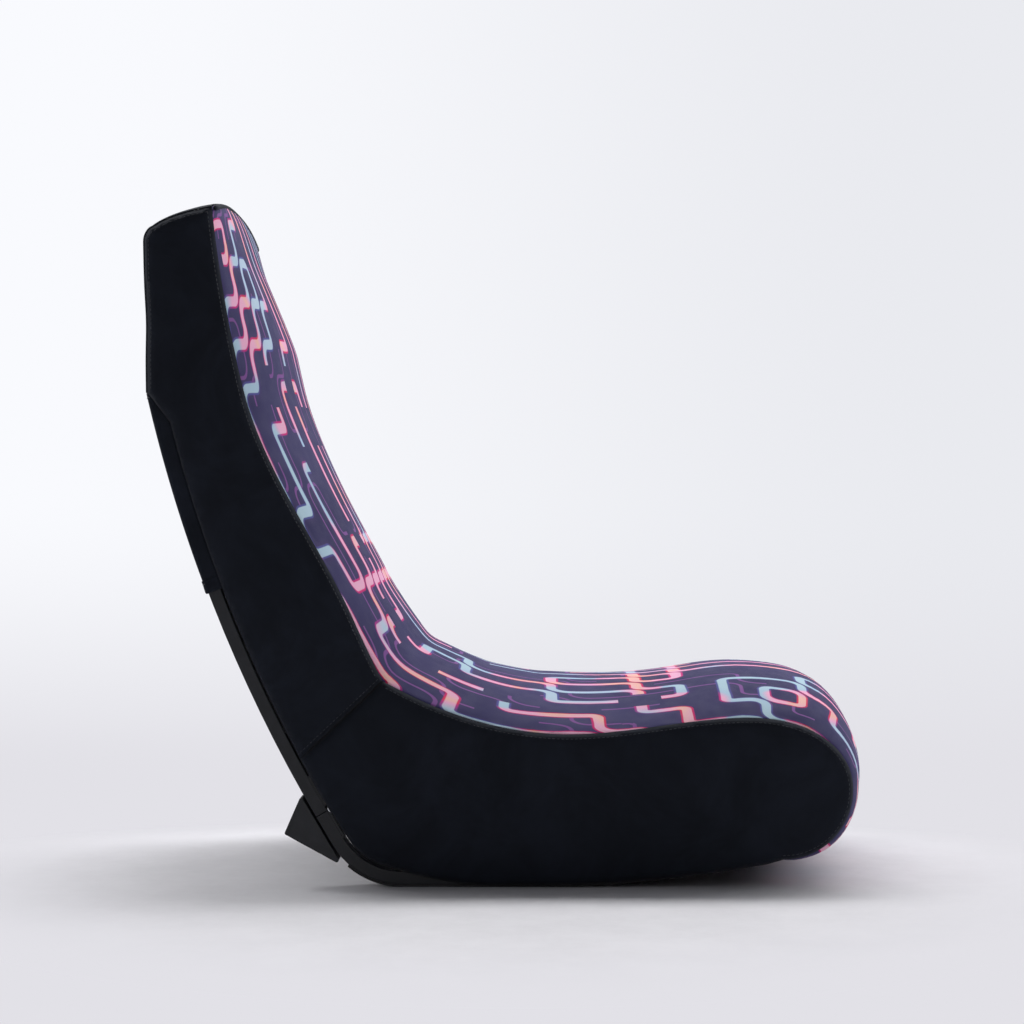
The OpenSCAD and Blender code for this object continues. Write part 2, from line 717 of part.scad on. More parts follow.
module seat_side_panel(side) {
    color(suede) at_side(side) slab(half_w - panel_t, half_w, concat(
        [for (q = seat_seam) q[0]], panel_low,
        arc(bend_c, bend_r - heel_t, heel_a, -leg_lean),
        [leg_pt(0, edge_t), back_pt(crease_rail_s, edge_t)]));
}

// Length below the kink over which the panel's edge widens to the head
kink_reach = 36;

module back_side_panel(side) {
    color(suede) at_side(side) slab(half_w - panel_t, half_w, concat(
        [for (q = back_seam) q[0]],
        back_line(crease_rail_s + cut_gap, kink_s - kink_reach, edge_t), head_line(0)));
}

// ---- Back frame ----

module back_rail(side) {
    color(steel) at_side(side) difference() {
        slab(rail_x0, rail_x1, band(back_line(cut_gap / 2, back_rail_len, -rail_t),
            back_line(cut_gap / 2, back_rail_len, 0)));
        slab(rail_x0 + rail_wall, rail_x1 - rail_wall,
            band(back_line(-over, back_rail_len + over, rail_wall - rail_t),
                back_line(-over, back_rail_len + over, -rail_wall)));
    }
}

module on_back(s) {
    stand(back_pt(s, 0), bow_angle(s) + 90) children();
}

module back_cross_top() {
    color(steel) on_back(back_rail_len - cross_w / 2) cross_tube();
}

module back_cross_mid() {
    color(steel) on_back(mid_cross_s) cross_tube();
}

module back_rail_plugs() {
    color(rubber) for (side = [1, -1]) at_side(side)
        stand(back_pt(back_rail_len, 0), bow_angle(back_rail_len)) mirror([0, 1, 0]) rail_plug();
}

// ---- Tipping feet ----

foot_t = -rail_t - foot_gap;
boss_r = foot_screw_r + 2.2;
boss_places = [leg_pt(foot_heel, foot_t - foot_reach * 0.6),
    leg_pt(-foot_toe * 0.4, foot_t - foot_reach * 0.3)];
foot_screw_len = 14;
foot_head_t = 2;
// Gap between the bracket and the base rail that it passes
bracket_gap = 0.5;
plate_x1 = rail_x0 - bracket_gap;
plate_x0 = plate_x1 - bracket_t;

function foot_outline(inset) = rounded([leg_pt(foot_top - 2 * inset, foot_t - inset),
    leg_pt(-foot_toe + 2 * inset, foot_t - inset), leg_pt(foot_heel, foot_t - foot_reach + 1.5 * inset)],
    foot_round);

module tip_foot(side) {
    color(plastic) at_side(side) difference() {
        union() {
            difference() {
                slab(rail_x0, rail_x1, foot_outline(0));
                slab(rail_x0 - over, rail_x1 - foot_wall, foot_outline(foot_wall));
            }
            for (p = boss_places) rod(p, rail_x0, rail_x1 - foot_wall / 2, boss_r);
        }
        for (p = boss_places) rod(p, rail_x0 - over, rail_x0 + foot_screw_len, foot_screw_r + fit_gap);
    }
}

module foot_bracket(side) {
    rail_tab = [leg_pt(bracket_len, -over), leg_pt(bracket_len, over - rail_t),
        leg_pt(over, over - rail_t), leg_pt(over, -over)];
    color(steel) at_side(side) difference() {
        union() {
            slab(plate_x0, plate_x1, [leg_pt(bracket_len, -over), leg_pt(bracket_len, over - rail_t),
                leg_pt(foot_top - boss_r, foot_t - over), boss_places[0] + boss_r * up,
                boss_places[0] - boss_r * ahead, boss_places[1] - boss_r * ahead,
                leg_pt(-foot_toe * 0.75, foot_t), leg_pt(-foot_toe * 0.5, -rail_t / 2),
                leg_pt(over, -over)]);
            slab(plate_x0, rail_x0, rail_tab);
            for (p = boss_places) rod(p, plate_x0, rail_x0, boss_r);
        }
        for (p = boss_places) rod(p, plate_x0 - over, rail_x0 + over, foot_screw_r + hole_play);
    }
}

module foot_screws() {
    color(zinc) for (side = [1, -1]) at_side(side) for (p = boss_places) {
        rod(p, plate_x0 - foot_head_t, plate_x0, 2 * foot_screw_r);
        rod(p, plate_x0 - over, rail_x0 + foot_screw_len - over, foot_screw_r);
    }
}

// ---- Back board and rear fabrics ----

// Distance above the cut at which the lining and the board start
lining_s = 2 * knuckle_r;
board_s = 30;
// The pocket ends this far below the kink
pocket_top_s = kink_s - over;

module back_lining() {
    color(suede) slab(-foam_x, foam_x, band(back_line(lining_s, pocket_top_s, lining_t),
        back_line(lining_s, pocket_top_s, lining_t + cloth_t)));
}

module back_board() {
    color(ply) slab(-board_x, board_x, band(back_line(board_s, back_board_s, back_board_low_t),
        back_line(board_s, back_board_s, back_board_low_t + back_board_t)));
}

// Filler between the board and the head's rear panel
module head_pad() {
    low = kink_pt + (cloth_t + lay_gap) * inward(rear_dir);
    front = back_board_low_t - lay_gap;
    color(foam) slab(-foam_x, foam_x, [low + 2 * cloth_t * rear_dir, entry_pt - cloth_t * rear_dir,
        back_pt(back_board_s, front), back_pt(head_cut_s + bow_step, front), back_pt(head_cut_s, front),
        back_pt(kink_s + cloth_t, front)]);
}

module head_rear_panel() {
    color(suede) loft([for (v = across)
        band(raised(head_stations(0), v, 0), raised(head_stations(cloth_t), v, 0))],
        band_ranks(head_stations(0)));
}

module rear_pocket() {
    inner_x = rail_x1 + lay_gap;
    color(suede) {
        slab(-inner_x - cloth_t, inner_x + cloth_t, band(back_line(hem_s, pocket_top_s, rear_t),
            back_line(hem_s, pocket_top_s, rear_t + cloth_t)));
        for (side = [1, -1]) at_side(side) slab(inner_x, inner_x + cloth_t,
            band(back_line(hem_s, pocket_top_s, rear_t), back_line(hem_s, pocket_top_s, lining_t)));
    }
}

module pocket_hem() {
    outer_x = rail_x1 + lay_gap + cloth_t;
    color(suede) slab(-outer_x, outer_x, band(back_line(hem_s, hem_s + hem_w, rear_t - cloth_t / 2),
        back_line(hem_s, hem_s + hem_w, rear_t)));
}

base_rail(1);  // base_rail_left
base_rail(-1);  // base_rail_right
glide_strip(1);  // glide_strip_left
glide_strip(-1);  // glide_strip_right
base_cross_rear();
base_cross_front();
runner_plugs();
hinge_leaf_base(1);  // hinge_leaf_base_left
hinge_leaf_base(-1);  // hinge_leaf_base_right
hinge_pins();
seat_board();
seat_bolts();
seat_tee_nuts();
dust_cover();
under_panel();
seat_foam();
seat_side_panel(1);  // seat_side_panel_left
seat_side_panel(-1);  // seat_side_panel_right
printed_cover();
corner_foam();
back_rail(1);  // back_rail_left
back_rail(-1);  // back_rail_right
back_cross_top();
back_cross_mid();
back_rail_plugs();
hinge_leaf_back(1);  // hinge_leaf_back_left
hinge_leaf_back(-1);  // hinge_leaf_back_right
foot_bracket(1);  // foot_bracket_left
foot_bracket(-1);  // foot_bracket_right
tip_foot(1);  // tip_foot_left
tip_foot(-1);  // tip_foot_right
foot_screws();
back_board();
back_lining();
back_foam();
head_pad();
head_foam();
head_rear_panel();
back_side_panel(1);  // back_side_panel_left
back_side_panel(-1);  // back_side_panel_right
rear_pocket();
pocket_hem();
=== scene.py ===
"""Folding floor rocker: an L-shaped cushion on two bent steel rails, dressed on its fixed frame."""
import math

import bmesh
import bpy
import numpy as np
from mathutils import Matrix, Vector, geometry, noise
from mathutils.bvhtree import BVHTree


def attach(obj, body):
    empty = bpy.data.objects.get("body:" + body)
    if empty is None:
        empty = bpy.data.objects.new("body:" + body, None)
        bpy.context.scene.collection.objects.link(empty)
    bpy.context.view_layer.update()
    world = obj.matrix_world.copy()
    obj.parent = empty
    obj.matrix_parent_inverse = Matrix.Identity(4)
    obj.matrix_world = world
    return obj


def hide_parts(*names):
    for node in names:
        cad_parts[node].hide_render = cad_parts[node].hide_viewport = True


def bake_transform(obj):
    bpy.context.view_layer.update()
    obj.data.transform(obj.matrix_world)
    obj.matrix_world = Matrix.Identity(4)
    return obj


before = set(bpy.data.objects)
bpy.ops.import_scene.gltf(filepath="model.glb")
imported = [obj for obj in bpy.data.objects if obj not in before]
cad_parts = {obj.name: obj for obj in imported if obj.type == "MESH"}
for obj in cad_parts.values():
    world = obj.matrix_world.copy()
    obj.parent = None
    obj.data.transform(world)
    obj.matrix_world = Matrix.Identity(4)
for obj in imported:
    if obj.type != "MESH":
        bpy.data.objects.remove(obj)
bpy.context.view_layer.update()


# ---- Camera ----
# Level with the lumbar of the chair, 2.6 m to its right, looking straight across it.
def placed(name, data):
    """An object that shows this data at the origin."""
    made = bpy.data.objects.new(name, data)
    bpy.context.collection.objects.link(made)
    return made


lens = bpy.data.cameras.new("side_camera")
lens.lens = 83
lens.sensor_width = 36
lens.clip_end = 40
camera = placed("side_camera", lens)
camera.location = (-2.6205, 0.003, 0.3838)
camera.rotation_euler = (math.pi / 2, 0, -math.pi / 2)
bpy.context.scene.camera = camera


# ---- Studio ----
# A pale painted floor that sweeps up into a wall, a long strip of light above and beyond the chair
# and a soft box off each of its ends. The world fills in, most of it from beyond the chair.
class Thread:
    """One output socket of a material's nodes. A sum on threads adds its Math nodes."""

    def __init__(self, tree, socket=None):
        self.tree, self.socket = tree, socket

    def node(self, kind, settings=None, inputs=None, out=0):
        """Adds a node of this kind: its settings first, then the values or threads of its sockets."""
        made = self.tree.nodes.new("ShaderNode" + kind)
        for name, value in (settings or {}).items():
            if name == "stops":
                ramp = made.color_ramp
                while len(ramp.elements) < len(value):
                    ramp.elements.new(0.5)
                for element, (place, colour) in zip(ramp.elements, value):
                    element.position = place
                    element.color = colour
            else:
                setattr(made, name, value)
        for name, value in (inputs or {}).items():
            if isinstance(value, Thread):
                self.tree.links.new(value.socket, made.inputs[name])
            else:
                made.inputs[name].default_value = value
        return Thread(self.tree, made.outputs[out])

    def math(self, operation, *values):
        return self.node("Math", {"operation": operation}, dict(enumerate(values)))

    def __add__(self, other):
        return self.math("ADD", self, other)

    def __sub__(self, other):
        return self.math("SUBTRACT", self, other)

    def __rsub__(self, other):
        return self.math("SUBTRACT", other, self)

    def __mul__(self, other):
        return self.math("MULTIPLY", self, other)

    def __truediv__(self, other):
        return self.math("DIVIDE", self, other)

    __radd__, __rmul__ = __add__, __mul__

    def __abs__(self):
        return self.math("ABSOLUTE", self)

    def low(self, other):
        return self.math("MINIMUM", self, other)

    def high(self, other):
        return self.math("MAXIMUM", self, other)

    def under(self, other):
        return self.math("LESS_THAN", self, other)

    def fade(self, start, end, to_start=0, to_end=1):
        """Runs smoothly from one value to another as this thread goes from start to end."""
        return self.node("MapRange", {"interpolation_type": "SMOOTHSTEP"},
                         {0: self, 1: start, 2: end, 3: to_start, 4: to_end})

    def tint(self, low, high):
        """The colour low where this thread is 0, and high where it is 1."""
        return self.node("Mix", {"data_type": "RGBA"}, {0: self, 6: low, 7: high}, out=2)

    def split(self):
        """The three parts of a vector."""
        made = self.tree.nodes.new("ShaderNodeSeparateXYZ")
        self.tree.links.new(self.socket, made.inputs[0])
        return [Thread(self.tree, part) for part in made.outputs]

    def span(self, other):
        """The length of the vector that has this thread and another as its parts."""
        both = self.node("CombineXYZ", {}, {0: self, 1: other})
        return self.node("VectorMath", {"operation": "LENGTH"}, {0: both}, out=1)

    def places(self):
        """Each point's place on its own piece."""
        return self.node("TexCoord", out=3)


def rgb(red, green, blue):
    """A screen colour, 0 to 255, as a shader wants it."""
    return tuple(((c / 255 + 0.055) / 1.055) ** 2.4 if c > 10 else c / 255 / 12.92
                 for c in (red, green, blue)) + (1,)


def finish(name, **fixed):
    """An empty surface material: its first thread, its shader, and the sockets that never vary."""
    made = bpy.data.materials.new(name)
    made.use_nodes = True
    tree = made.node_tree
    shader = tree.nodes["Principled BSDF"]
    for socket, value in fixed.items():
        shader.inputs[socket.replace("_", " ")].default_value = value
    return made, Thread(tree), shader


def plug(thread, shader, socket):
    thread.tree.links.new(thread.socket, shader.inputs[socket])


def relief(height, shader, strength, distance):
    """Feeds a height thread into the shader as a bump."""
    bump = height.node("Bump", {}, {"Strength": strength, "Distance": distance, "Height": height})
    plug(bump, shader, "Normal")


def grain_at(thread, scale, detail=3, roughness=0.5, **others):
    grain = {"Vector": thread.places(), "Scale": scale, "Detail": detail, "Roughness": roughness}
    return thread.node("TexNoise", {}, grain | others)


def cells_at(thread, scale, **others):
    return thread.node("TexVoronoi", {}, {"Vector": thread.places(), "Scale": scale} | others)


def mesh_piece(name, points, faces, material):
    """A mesh object at the origin, with its place in its mesh. Points are in millimetres."""
    mesh = bpy.data.meshes.new(name)
    mesh.from_pydata((np.array(points).reshape(-1, 3) / 1000).tolist(), [], faces)
    mesh.materials.append(material)
    mesh.polygons.foreach_set("use_smooth", [True] * len(mesh.polygons))
    mesh.update()
    return placed(name, mesh)


def seen_directly(thread):
    """1 for rays that reach a surface from the camera, in a mirror or through glass."""
    seen = [thread.node("LightPath", out=k) for k in (0, 3, 6)]
    return seen[0].high(seen[1]).high(seen[2])


studio_paint, thread, shader = finish("studio_paint", Roughness=0.8, Specular_IOR_Level=0.2)
x, y, z = thread.places().split()
mottle = grain_at(thread, 9, 7, roughness=0.72)
plug(mottle.fade(0.25, 0.75).tint(rgb(215, 214, 218), rgb(225, 224, 228)), shader, "Base Color")
relief(grain_at(thread, 60, 4), shader, 0.05, 0.002)
# Away from the chair the camera sees a glow in place of the lit floor and wall, which is painted light: the
# floor's lit tone low down and the wall's above it, painted brighter higher up and towards the head end.
wall_painted_light = y.fade(-1.1, 1.1).tint(rgb(233, 234, 239), rgb(249, 250, 254))
backdrop_painted_light = (z + x * 0.25 - 0.175).fade(0.0, 0.9).tint(rgb(226, 225, 231), wall_painted_light)
glow = thread.node("Emission", {}, {0: backdrop_painted_light, 1: 1.0})
away = (x * 2.4).high(x * -1).span(y * 1.2).fade(0.42, 0.8)
shown = thread.node("MixShader", {}, {0: away * seen_directly(thread),
                                      1: Thread(thread.tree, shader.outputs[0]), 2: glow})
thread.tree.links.new(shown.socket, thread.tree.nodes["Material Output"].inputs[0])

floor_start, sweep_start, sweep_r, wall_h, floor_w = -12000, 1600, 1400, 5000, 9000
sweep = [(floor_start, 0.0)] + [(x, 0.0) for x in np.linspace(-4000, sweep_start, 12)]
sweep += [(sweep_start + sweep_r * math.sin(a), sweep_r * (1 - math.cos(a)))
          for a in np.linspace(0, math.pi / 2, 25)[1:]]
sweep += [(sweep_start + sweep_r, wall_h)]
points = [(x, y, z) for x, z in sweep for y in (-floor_w, floor_w)]
faces = [(2 * i, 2 * i + 2, 2 * i + 3, 2 * i + 1) for i in range(len(sweep) - 1)]
mesh_piece("studio_floor", points, faces, studio_paint)


def soft_box(name, place, aim, width, height, power):
    lamp = bpy.data.lights.new(name, "AREA")
    lamp.shape = "RECTANGLE"
    lamp.size, lamp.size_y, lamp.energy = width, height, power
    box = placed(name, lamp)
    box.location = place
    box.rotation_euler = (Vector(aim) - Vector(place)).to_track_quat("-Z", "Y").to_euler()


soft_box("far_strip", (1.35, 0, 2.9), (0, 0, 0.1), 7.0, 1.0, 152)
soft_box("head_side_box", (1.2, 3.6, 1.9), (0.1, 0, 0.1), 1.6, 1.6, 46)
soft_box("nose_side_box", (1.0, -3.6, 1.9), (0.1, 0, 0.1), 1.6, 1.6, 36)
sky = bpy.data.worlds.new("studio_sky")
bpy.context.scene.world = sky
sky.use_nodes = True
fill = sky.node_tree.nodes["Background"]
fill.inputs["Color"].default_value = (0.94, 0.95, 1, 1)
thread = Thread(sky.node_tree)
pale = thread.node("Background", {}, {0: rgb(233, 234, 239), 1: 1.0})
plug(thread.node("TexCoord", out=0).split()[0].fade(-0.15, 0.6, 0.11, 0.6), fill, "Strength")
shown = thread.node("MixShader", {}, {0: seen_directly(thread), 2: pale,
                                      1: Thread(sky.node_tree, fill.outputs[0])})
sky.node_tree.links.new(shown.socket, sky.node_tree.nodes["World Output"].inputs[0])
bpy.context.scene.view_settings.view_transform = "Standard"


# ---- Steel frame ----
# Two base rails of bent rectangular tube with cross tubes, hinge leaves at the cut and brackets
# for the feet, all in a satin black powder coat that gathers a fine orange peel.
def powder_coat(name, low, high):
    coat, thread, shader = finish(name, Coat_Roughness=0.35, Specular_IOR_Level=0.3)
    worn = grain_at(thread, 35, 5, roughness=0.6)
    plug(worn.fade(0.35, 0.75).tint(low, high), shader, "Base Color")
    plug(grain_at(thread, 120, 3).fade(0.3, 0.7, 0.34, 0.46), shader, "Roughness")
    relief(grain_at(thread, 900, 2), shader, 0.12, 0.0004)
    return coat


def dress(material, edge, *names):
    """Gives CAD nodes their material, welds their loose faces and rounds their sharp edges."""
    for name in names:
        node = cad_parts[name]
        for place in node.material_slots:
            place.material = material
        weld = node.modifiers.new("weld", "WELD")
        weld.merge_threshold = 0.00001
        if edge:
            bevel = node.modifiers.new("edge", "BEVEL")
            bevel.width = edge
            bevel.segments = 3
            bevel.limit_method = "ANGLE"
            bevel.angle_limit = math.radians(40)


def both(*names):
    return [f"{name}_{hand}" for name in names for hand in ("left", "right")]


rail_coat = powder_coat("rail_powder_coat", rgb(20, 21, 25), rgb(31, 32, 37))
bracket_coat = powder_coat("bracket_powder_coat", rgb(17, 18, 21), rgb(28, 29, 33))
dress(rail_coat, 0.0006, *both("base_rail", "back_rail"), "base_cross_rear", "base_cross_front",
      "back_cross_top", "back_cross_mid")
dress(bracket_coat, 0.0004, *both("hinge_leaf_base", "hinge_leaf_back", "foot_bracket"))


# ---- Small hardware ----
# Zinc plated steel: the hinge pins, the bolts and tee nuts of the seat board, and the screws that
# hold the feet to their brackets.
zinc_plate, thread, shader = finish("zinc_plate", Metallic=1.0)
blush = grain_at(thread, 240, 4)
plug(blush.fade(0.3, 0.7).tint(rgb(168, 170, 176), rgb(200, 201, 204)), shader, "Base Color")
plug(grain_at(thread, 500, 3).fade(0.2, 0.8, 0.25, 0.45), shader, "Roughness")
dress(zinc_plate, 0.0003, "hinge_pins", "seat_bolts", "seat_tee_nuts", "foot_screws")


# ---- Rubber and moulded plastic ----
# Ribbed rubber strips under the runners, plugs in the tube ends, and the two tipping feet of
# grained plastic.
glide_rubber, thread, shader = finish("glide_rubber", Specular_IOR_Level=0.35)
dust = grain_at(thread, 45, 5, roughness=0.7)
plug(dust.fade(0.45, 0.8).tint(rgb(27, 27, 29), rgb(52, 51, 50)), shader, "Base Color")
plug(dust.fade(0.3, 0.7, 0.62, 0.85), shader, "Roughness")
relief(grain_at(thread, 700, 2), shader, 0.25, 0.0004)
dress(glide_rubber, 0.0006, *both("glide_strip"))


def moulded(name, low, high, spark):
    plastic, thread, shader = finish(name, Specular_IOR_Level=0.4)
    plug(grain_at(thread, 60, 4).fade(0.35, 0.7).tint(low, high), shader, "Base Color")
    plug(grain_at(thread, 1500, 2).fade(0.3, 0.7, 0.5, 0.62), shader, "Roughness")
    relief(cells_at(thread, 1100), shader, spark, 0.0003)
    return plastic


dress(moulded("plug_plastic", rgb(20, 20, 22), rgb(32, 32, 35), 0.2), 0.0006,
      "runner_plugs", "back_rail_plugs")
dress(moulded("foot_plastic", rgb(20, 21, 25), rgb(29, 30, 35), 0.35), 0.0012, *both("tip_foot"))


# ---- Plywood boards ----
# The seat and back boards under the foam, cut from raw rotary-cut plywood. The seat board is bolted
# to the cross tubes of the base.
plywood, thread, shader = finish("plywood", Specular_IOR_Level=0.3)
across_grain = thread.node("Mapping", {}, {0: thread.places(), 3: (60, 5, 60)})
figure = thread.node("TexNoise", {}, {"Vector": across_grain, "Scale": 1.0, "Detail": 5.0})
plug(figure.fade(0.3, 0.7).tint(rgb(186, 150, 104), rgb(222, 192, 148)), shader, "Base Color")
plug(figure.fade(0.3, 0.7, 0.6, 0.75), shader, "Roughness")
relief(figure, shader, 0.2, 0.0008)
dress(plywood, 0.0005, "seat_board", "back_board")


# ---- Side view of the upholstery ----
# The seams and crowns that the tailor's patterns give, in millimetres: y is towards the back,
# z is up, s runs up the back from the cut in the rail and t is the depth ahead of the rail.
LEG_LEAN, LEG_LEN, BEND_R, BEND_C = 30.5, 33, 69, (116, 84.5)
BOW_R, RISE_C, RISE_R = 1510, (-36, 900), 884.5
CREASE_S, CREASE_RAIL_S, HEAD_S, KINK_S, NECK_S = 93, 60, 646, 466, 490
SEAM_LOW_T, SEAM_TOP_T = 114, 83.5
DIP, CREST, NOSE, CHIN = (56, 156.5), (240, 173.5), (346, 100), (275, 28.5)
CHIN_FLAT, SWEEP_R, HALF_W, FOAM_X = 17, 1250, 212.5, 209.7
BACK_CROWN, NECK_CROWN, HEAD_CROWN, CREASE_CROWN = 38, 42.5, 6, 51.5
DIP_CROWN, SEAT_CROWN, CREST_CROWN, NOSE_CROWN, CHIN_CROWN = 48, 40.5, 45.5, 22, 12
BROW_SWELL, CHIN_SWELL, CREASE_REACH, CREASE_WAY, SEAT_MID = 7.5, 3, 100, 132, -160
SOLE_Z, SOLE_FRONT, SOLE_REAR, HEEL_A, PANEL_LAP = 2.3, -27, 18, -76, 4.5
HEAD_ARCH, HEAD_FALL, HEAD_REAR_T, HEAD_ROUND, REAR_T = 16, 17, 10, 15, -14.8


def heading(degrees):
    return np.array([math.cos(math.radians(degrees)), math.sin(math.radians(degrees))])


def smooth(u):
    u = min(1, max(0, u))
    return u * u * (3 - 2 * u)


def between(a, b, u):
    return a + (b - a) * u


def quarter_round(u):
    """The height of a quarter circle that rises steeply from 0 and levels off at 1."""
    return math.sqrt(max(0, 1 - (1 - min(1, u)) ** 2))


def unit(way):
    return way / np.linalg.norm(way)


def left_of(way):
    return unit(np.array([-way[1], way[0]]))


UP, AHEAD = heading(90 - LEG_LEAN), heading(180 - LEG_LEAN)
CUT = np.array(BEND_C) + BEND_R * heading(-LEG_LEAN) + LEG_LEN * UP
BOW_C = CUT - BOW_R * heading(-LEG_LEAN)


def bow_angle(s):
    return math.degrees(s / BOW_R) - LEG_LEAN


def back_pt(s, t):
    return BOW_C + (BOW_R - t) * heading(bow_angle(s))


def leg_pt(u, t):
    return CUT + u * UP + t * AHEAD


def rise_pt(d, t):
    return np.array(RISE_C) + (RISE_R - t) * heading(-90 - math.degrees(d / RISE_R))


def seam_t(s):
    return between(SEAM_LOW_T, SEAM_TOP_T, smooth((s - 170) / 280))


CREASE = back_pt(CREASE_S, seam_t(CREASE_S))


def seat_z(y):
    if y > -DIP[0]:
        return DIP[1] + (CREASE[1] - DIP[1]) * ((y + DIP[0]) / (CREASE[0] + DIP[0])) ** 2
    return between(DIP[1], CREST[1], smooth((-DIP[0] - y) / (CREST[0] - DIP[0])))


def back_station(s):
    near = smooth((CREASE_S + CREASE_REACH - s) / CREASE_REACH)
    crown = between(between(BACK_CROWN, NECK_CROWN, smooth((s - 250) / 150)), HEAD_CROWN,
                    max(0, (s - NECK_S) / (HEAD_S - NECK_S)) ** 1.25)
    rise = between(crown, CREASE_CROWN, near) * heading(between(180 + bow_angle(s), CREASE_WAY, near))
    return back_pt(s, seam_t(s)), rise + [0, HEAD_ARCH * smooth((s - HEAD_S + 60) / 60)]


def seat_station(y):
    near = smooth((y - CREASE[0] + CREASE_REACH) / CREASE_REACH)
    normal = 90 + math.degrees(math.atan(seat_z(y + 1) - seat_z(y)))
    crown = (SEAT_CROWN + (DIP_CROWN - SEAT_CROWN) * smooth((y - SEAT_MID) / 130)
             + (CREST_CROWN - SEAT_CROWN) * smooth((SEAT_MID - y) / 80))
    return (np.array([y, seat_z(y)]),
            between(crown, CREASE_CROWN, near) * heading(between(normal, CREASE_WAY, near)))


def nose_station(centre, half, turn, u, power, crown):
    way = heading(turn + 90 * u)
    out = way / half
    spot = centre + np.sign(way) * np.abs(way) ** (2 / power) * half
    return spot, crown * out / np.linalg.norm(out)


def swell(u, at):
    return math.exp(-((u - at) / 0.19) ** 2)


def brow_station(u):
    return nose_station(np.array([-CREST[0], NOSE[1]]),
                        np.array([NOSE[0] - CREST[0], CREST[1] - NOSE[1]]), 90, u, 2.1,
                        between(CREST_CROWN, NOSE_CROWN, u ** 2.3) + BROW_SWELL * swell(u, 0.4))


def chin_station(u):
    return nose_station(np.array([-CHIN[0], NOSE[1]]),
                        np.array([NOSE[0] - CHIN[0], NOSE[1] - CHIN[1]]), 180, u, 2,
                        between(NOSE_CROWN, CHIN_CROWN, u ** 3) + CHIN_SWELL * swell(u, 0.5))


def run(station, start, end, count):
    return [station(between(start, end, i / count)) for i in range(count)]


def bend_edge(a0, a1, t, count=14):
    return [np.array(BEND_C) + (BEND_R - t) * heading(a) for a in np.linspace(a0, a1, count)]


heel = bend_edge(HEEL_A, HEEL_A, PANEL_LAP, 1)[0]


def low_z(y):
    """The height of the side panel's lower edge: it lifts off the runner in front and at the heel."""
    if y < SOLE_FRONT:
        return SOLE_Z + (y - SOLE_FRONT) ** 2 / 2 / SWEEP_R
    return SOLE_Z + (heel[1] - SOLE_Z) * (max(0, y - SOLE_REAR) / (heel[0] - SOLE_REAR)) ** 2


chin_end = (np.array([CHIN_FLAT - CHIN[0], CHIN[1]]), np.array([0, -CHIN_CROWN]))
tuck = (rise_pt(216.3, -2.3), heading(300))
head_corner = back_pt(HEAD_S - HEAD_FALL, HEAD_REAR_T)
head_front = back_pt(HEAD_S, seam_t(HEAD_S))
kink = back_pt(KINK_S, REAR_T)
head_way, top_way = unit(head_corner - kink), unit(head_front - head_corner)
head_in, head_out, top_out = left_of(head_way), -left_of(head_way), -left_of(top_way)


# ---- Printed cover ----
# One sewn length of woven polyester from the head over the back, seat and nose to the underside,
# printed with a neon maze. It is stretched over the foam and sewn to the side panels.
EDGE_IN, EDGE_PUFF, COVER_T, SWOLLEN = 3.0, 3.6, 2.0, 2.2
CREASE_ROW, FILLET_ROWS, FILLET_PASSES = 74, 14, 24
back_stations = run(back_station, HEAD_S, CREASE_S, CREASE_ROW)
seat_stations = (run(seat_station, CREASE[0], -CREST[0], 58) + run(brow_station, 0, 1, 22)
                 + run(chin_station, 0, 1, 18) + [chin_station(1)])
cover_stations = back_stations + seat_stations + [chin_end, tuck]
edge_gaps = [0, 1.2, 3, 5.5, 9, 13, 18, 25, 34]
cover_places = [-FOAM_X + EDGE_IN + g for g in edge_gaps]
cover_places += list(np.linspace(cover_places[-1], -cover_places[-1], 49))[1:-1]
cover_places += [FOAM_X - EDGE_IN - g for g in reversed(edge_gaps)]


def crown_at(x):
    return 1 - min(1, abs(x) / FOAM_X) ** 2.4


def puff_at(x, reach=18, rise=EDGE_PUFF):
    """The steep roll of stuffed cloth beside its seam, which fades towards the middle."""
    gap = max(0, FOAM_X - EDGE_IN - abs(x))
    return rise * quarter_round(gap / reach) * (1 - smooth((gap - reach) / 120))


def cover_point(station, x, off, ripple=0.0):
    """A place x across a station's arch, this far off the cover's own line."""
    seam, rise = station
    size = np.linalg.norm(rise)
    return seam + rise * crown_at(x) + rise / size * (off + puff_at(x) * min(1, size / 20) + ripple)


def cover_skin(off, ripples=True):
    """Rows of points over the cover, with its crease rounded out by a fillet."""
    rows = []
    for i, station in enumerate(cover_stations):
        row = []
        for x in cover_places:
            gap = FOAM_X - EDGE_IN - abs(x)
            wave = 0.0
            if ripples and gap > 0:
                spot = Vector((x * 0.008, i * 0.045, 3.7))
                wave = 1.1 * noise.noise(spot) * smooth(gap / 40)
                pucker = Vector((x * 0.002, i * 0.42, 9.1))
                wave += 0.8 * noise.noise(pucker) * smooth(gap / 3) * (1 - smooth((gap - 6) / 22))
            row.append((x, *cover_point(station, x, off, wave)))
        rows.append(row)
    rows = np.array(rows)
    share = np.array([crown_at(x) for x in cover_places])[None, :, None]
    near = slice(CREASE_ROW - FILLET_ROWS, CREASE_ROW + FILLET_ROWS + 1)
    for _ in range(FILLET_PASSES):
        part = rows[near]
        part[1:-1] += share * (0.25 * (part[:-2] + part[2:]) - 0.5 * part[1:-1])
    return rows


def skin_faces(rows, columns, turned=False):
    """The faces of a grid of points, row by row."""
    faces = [(i * columns + j, i * columns + j + 1, (i + 1) * columns + j + 1, (i + 1) * columns + j)
             for i in range(rows - 1) for j in range(columns - 1)]
    return [tuple(reversed(face)) for face in faces] if turned else faces


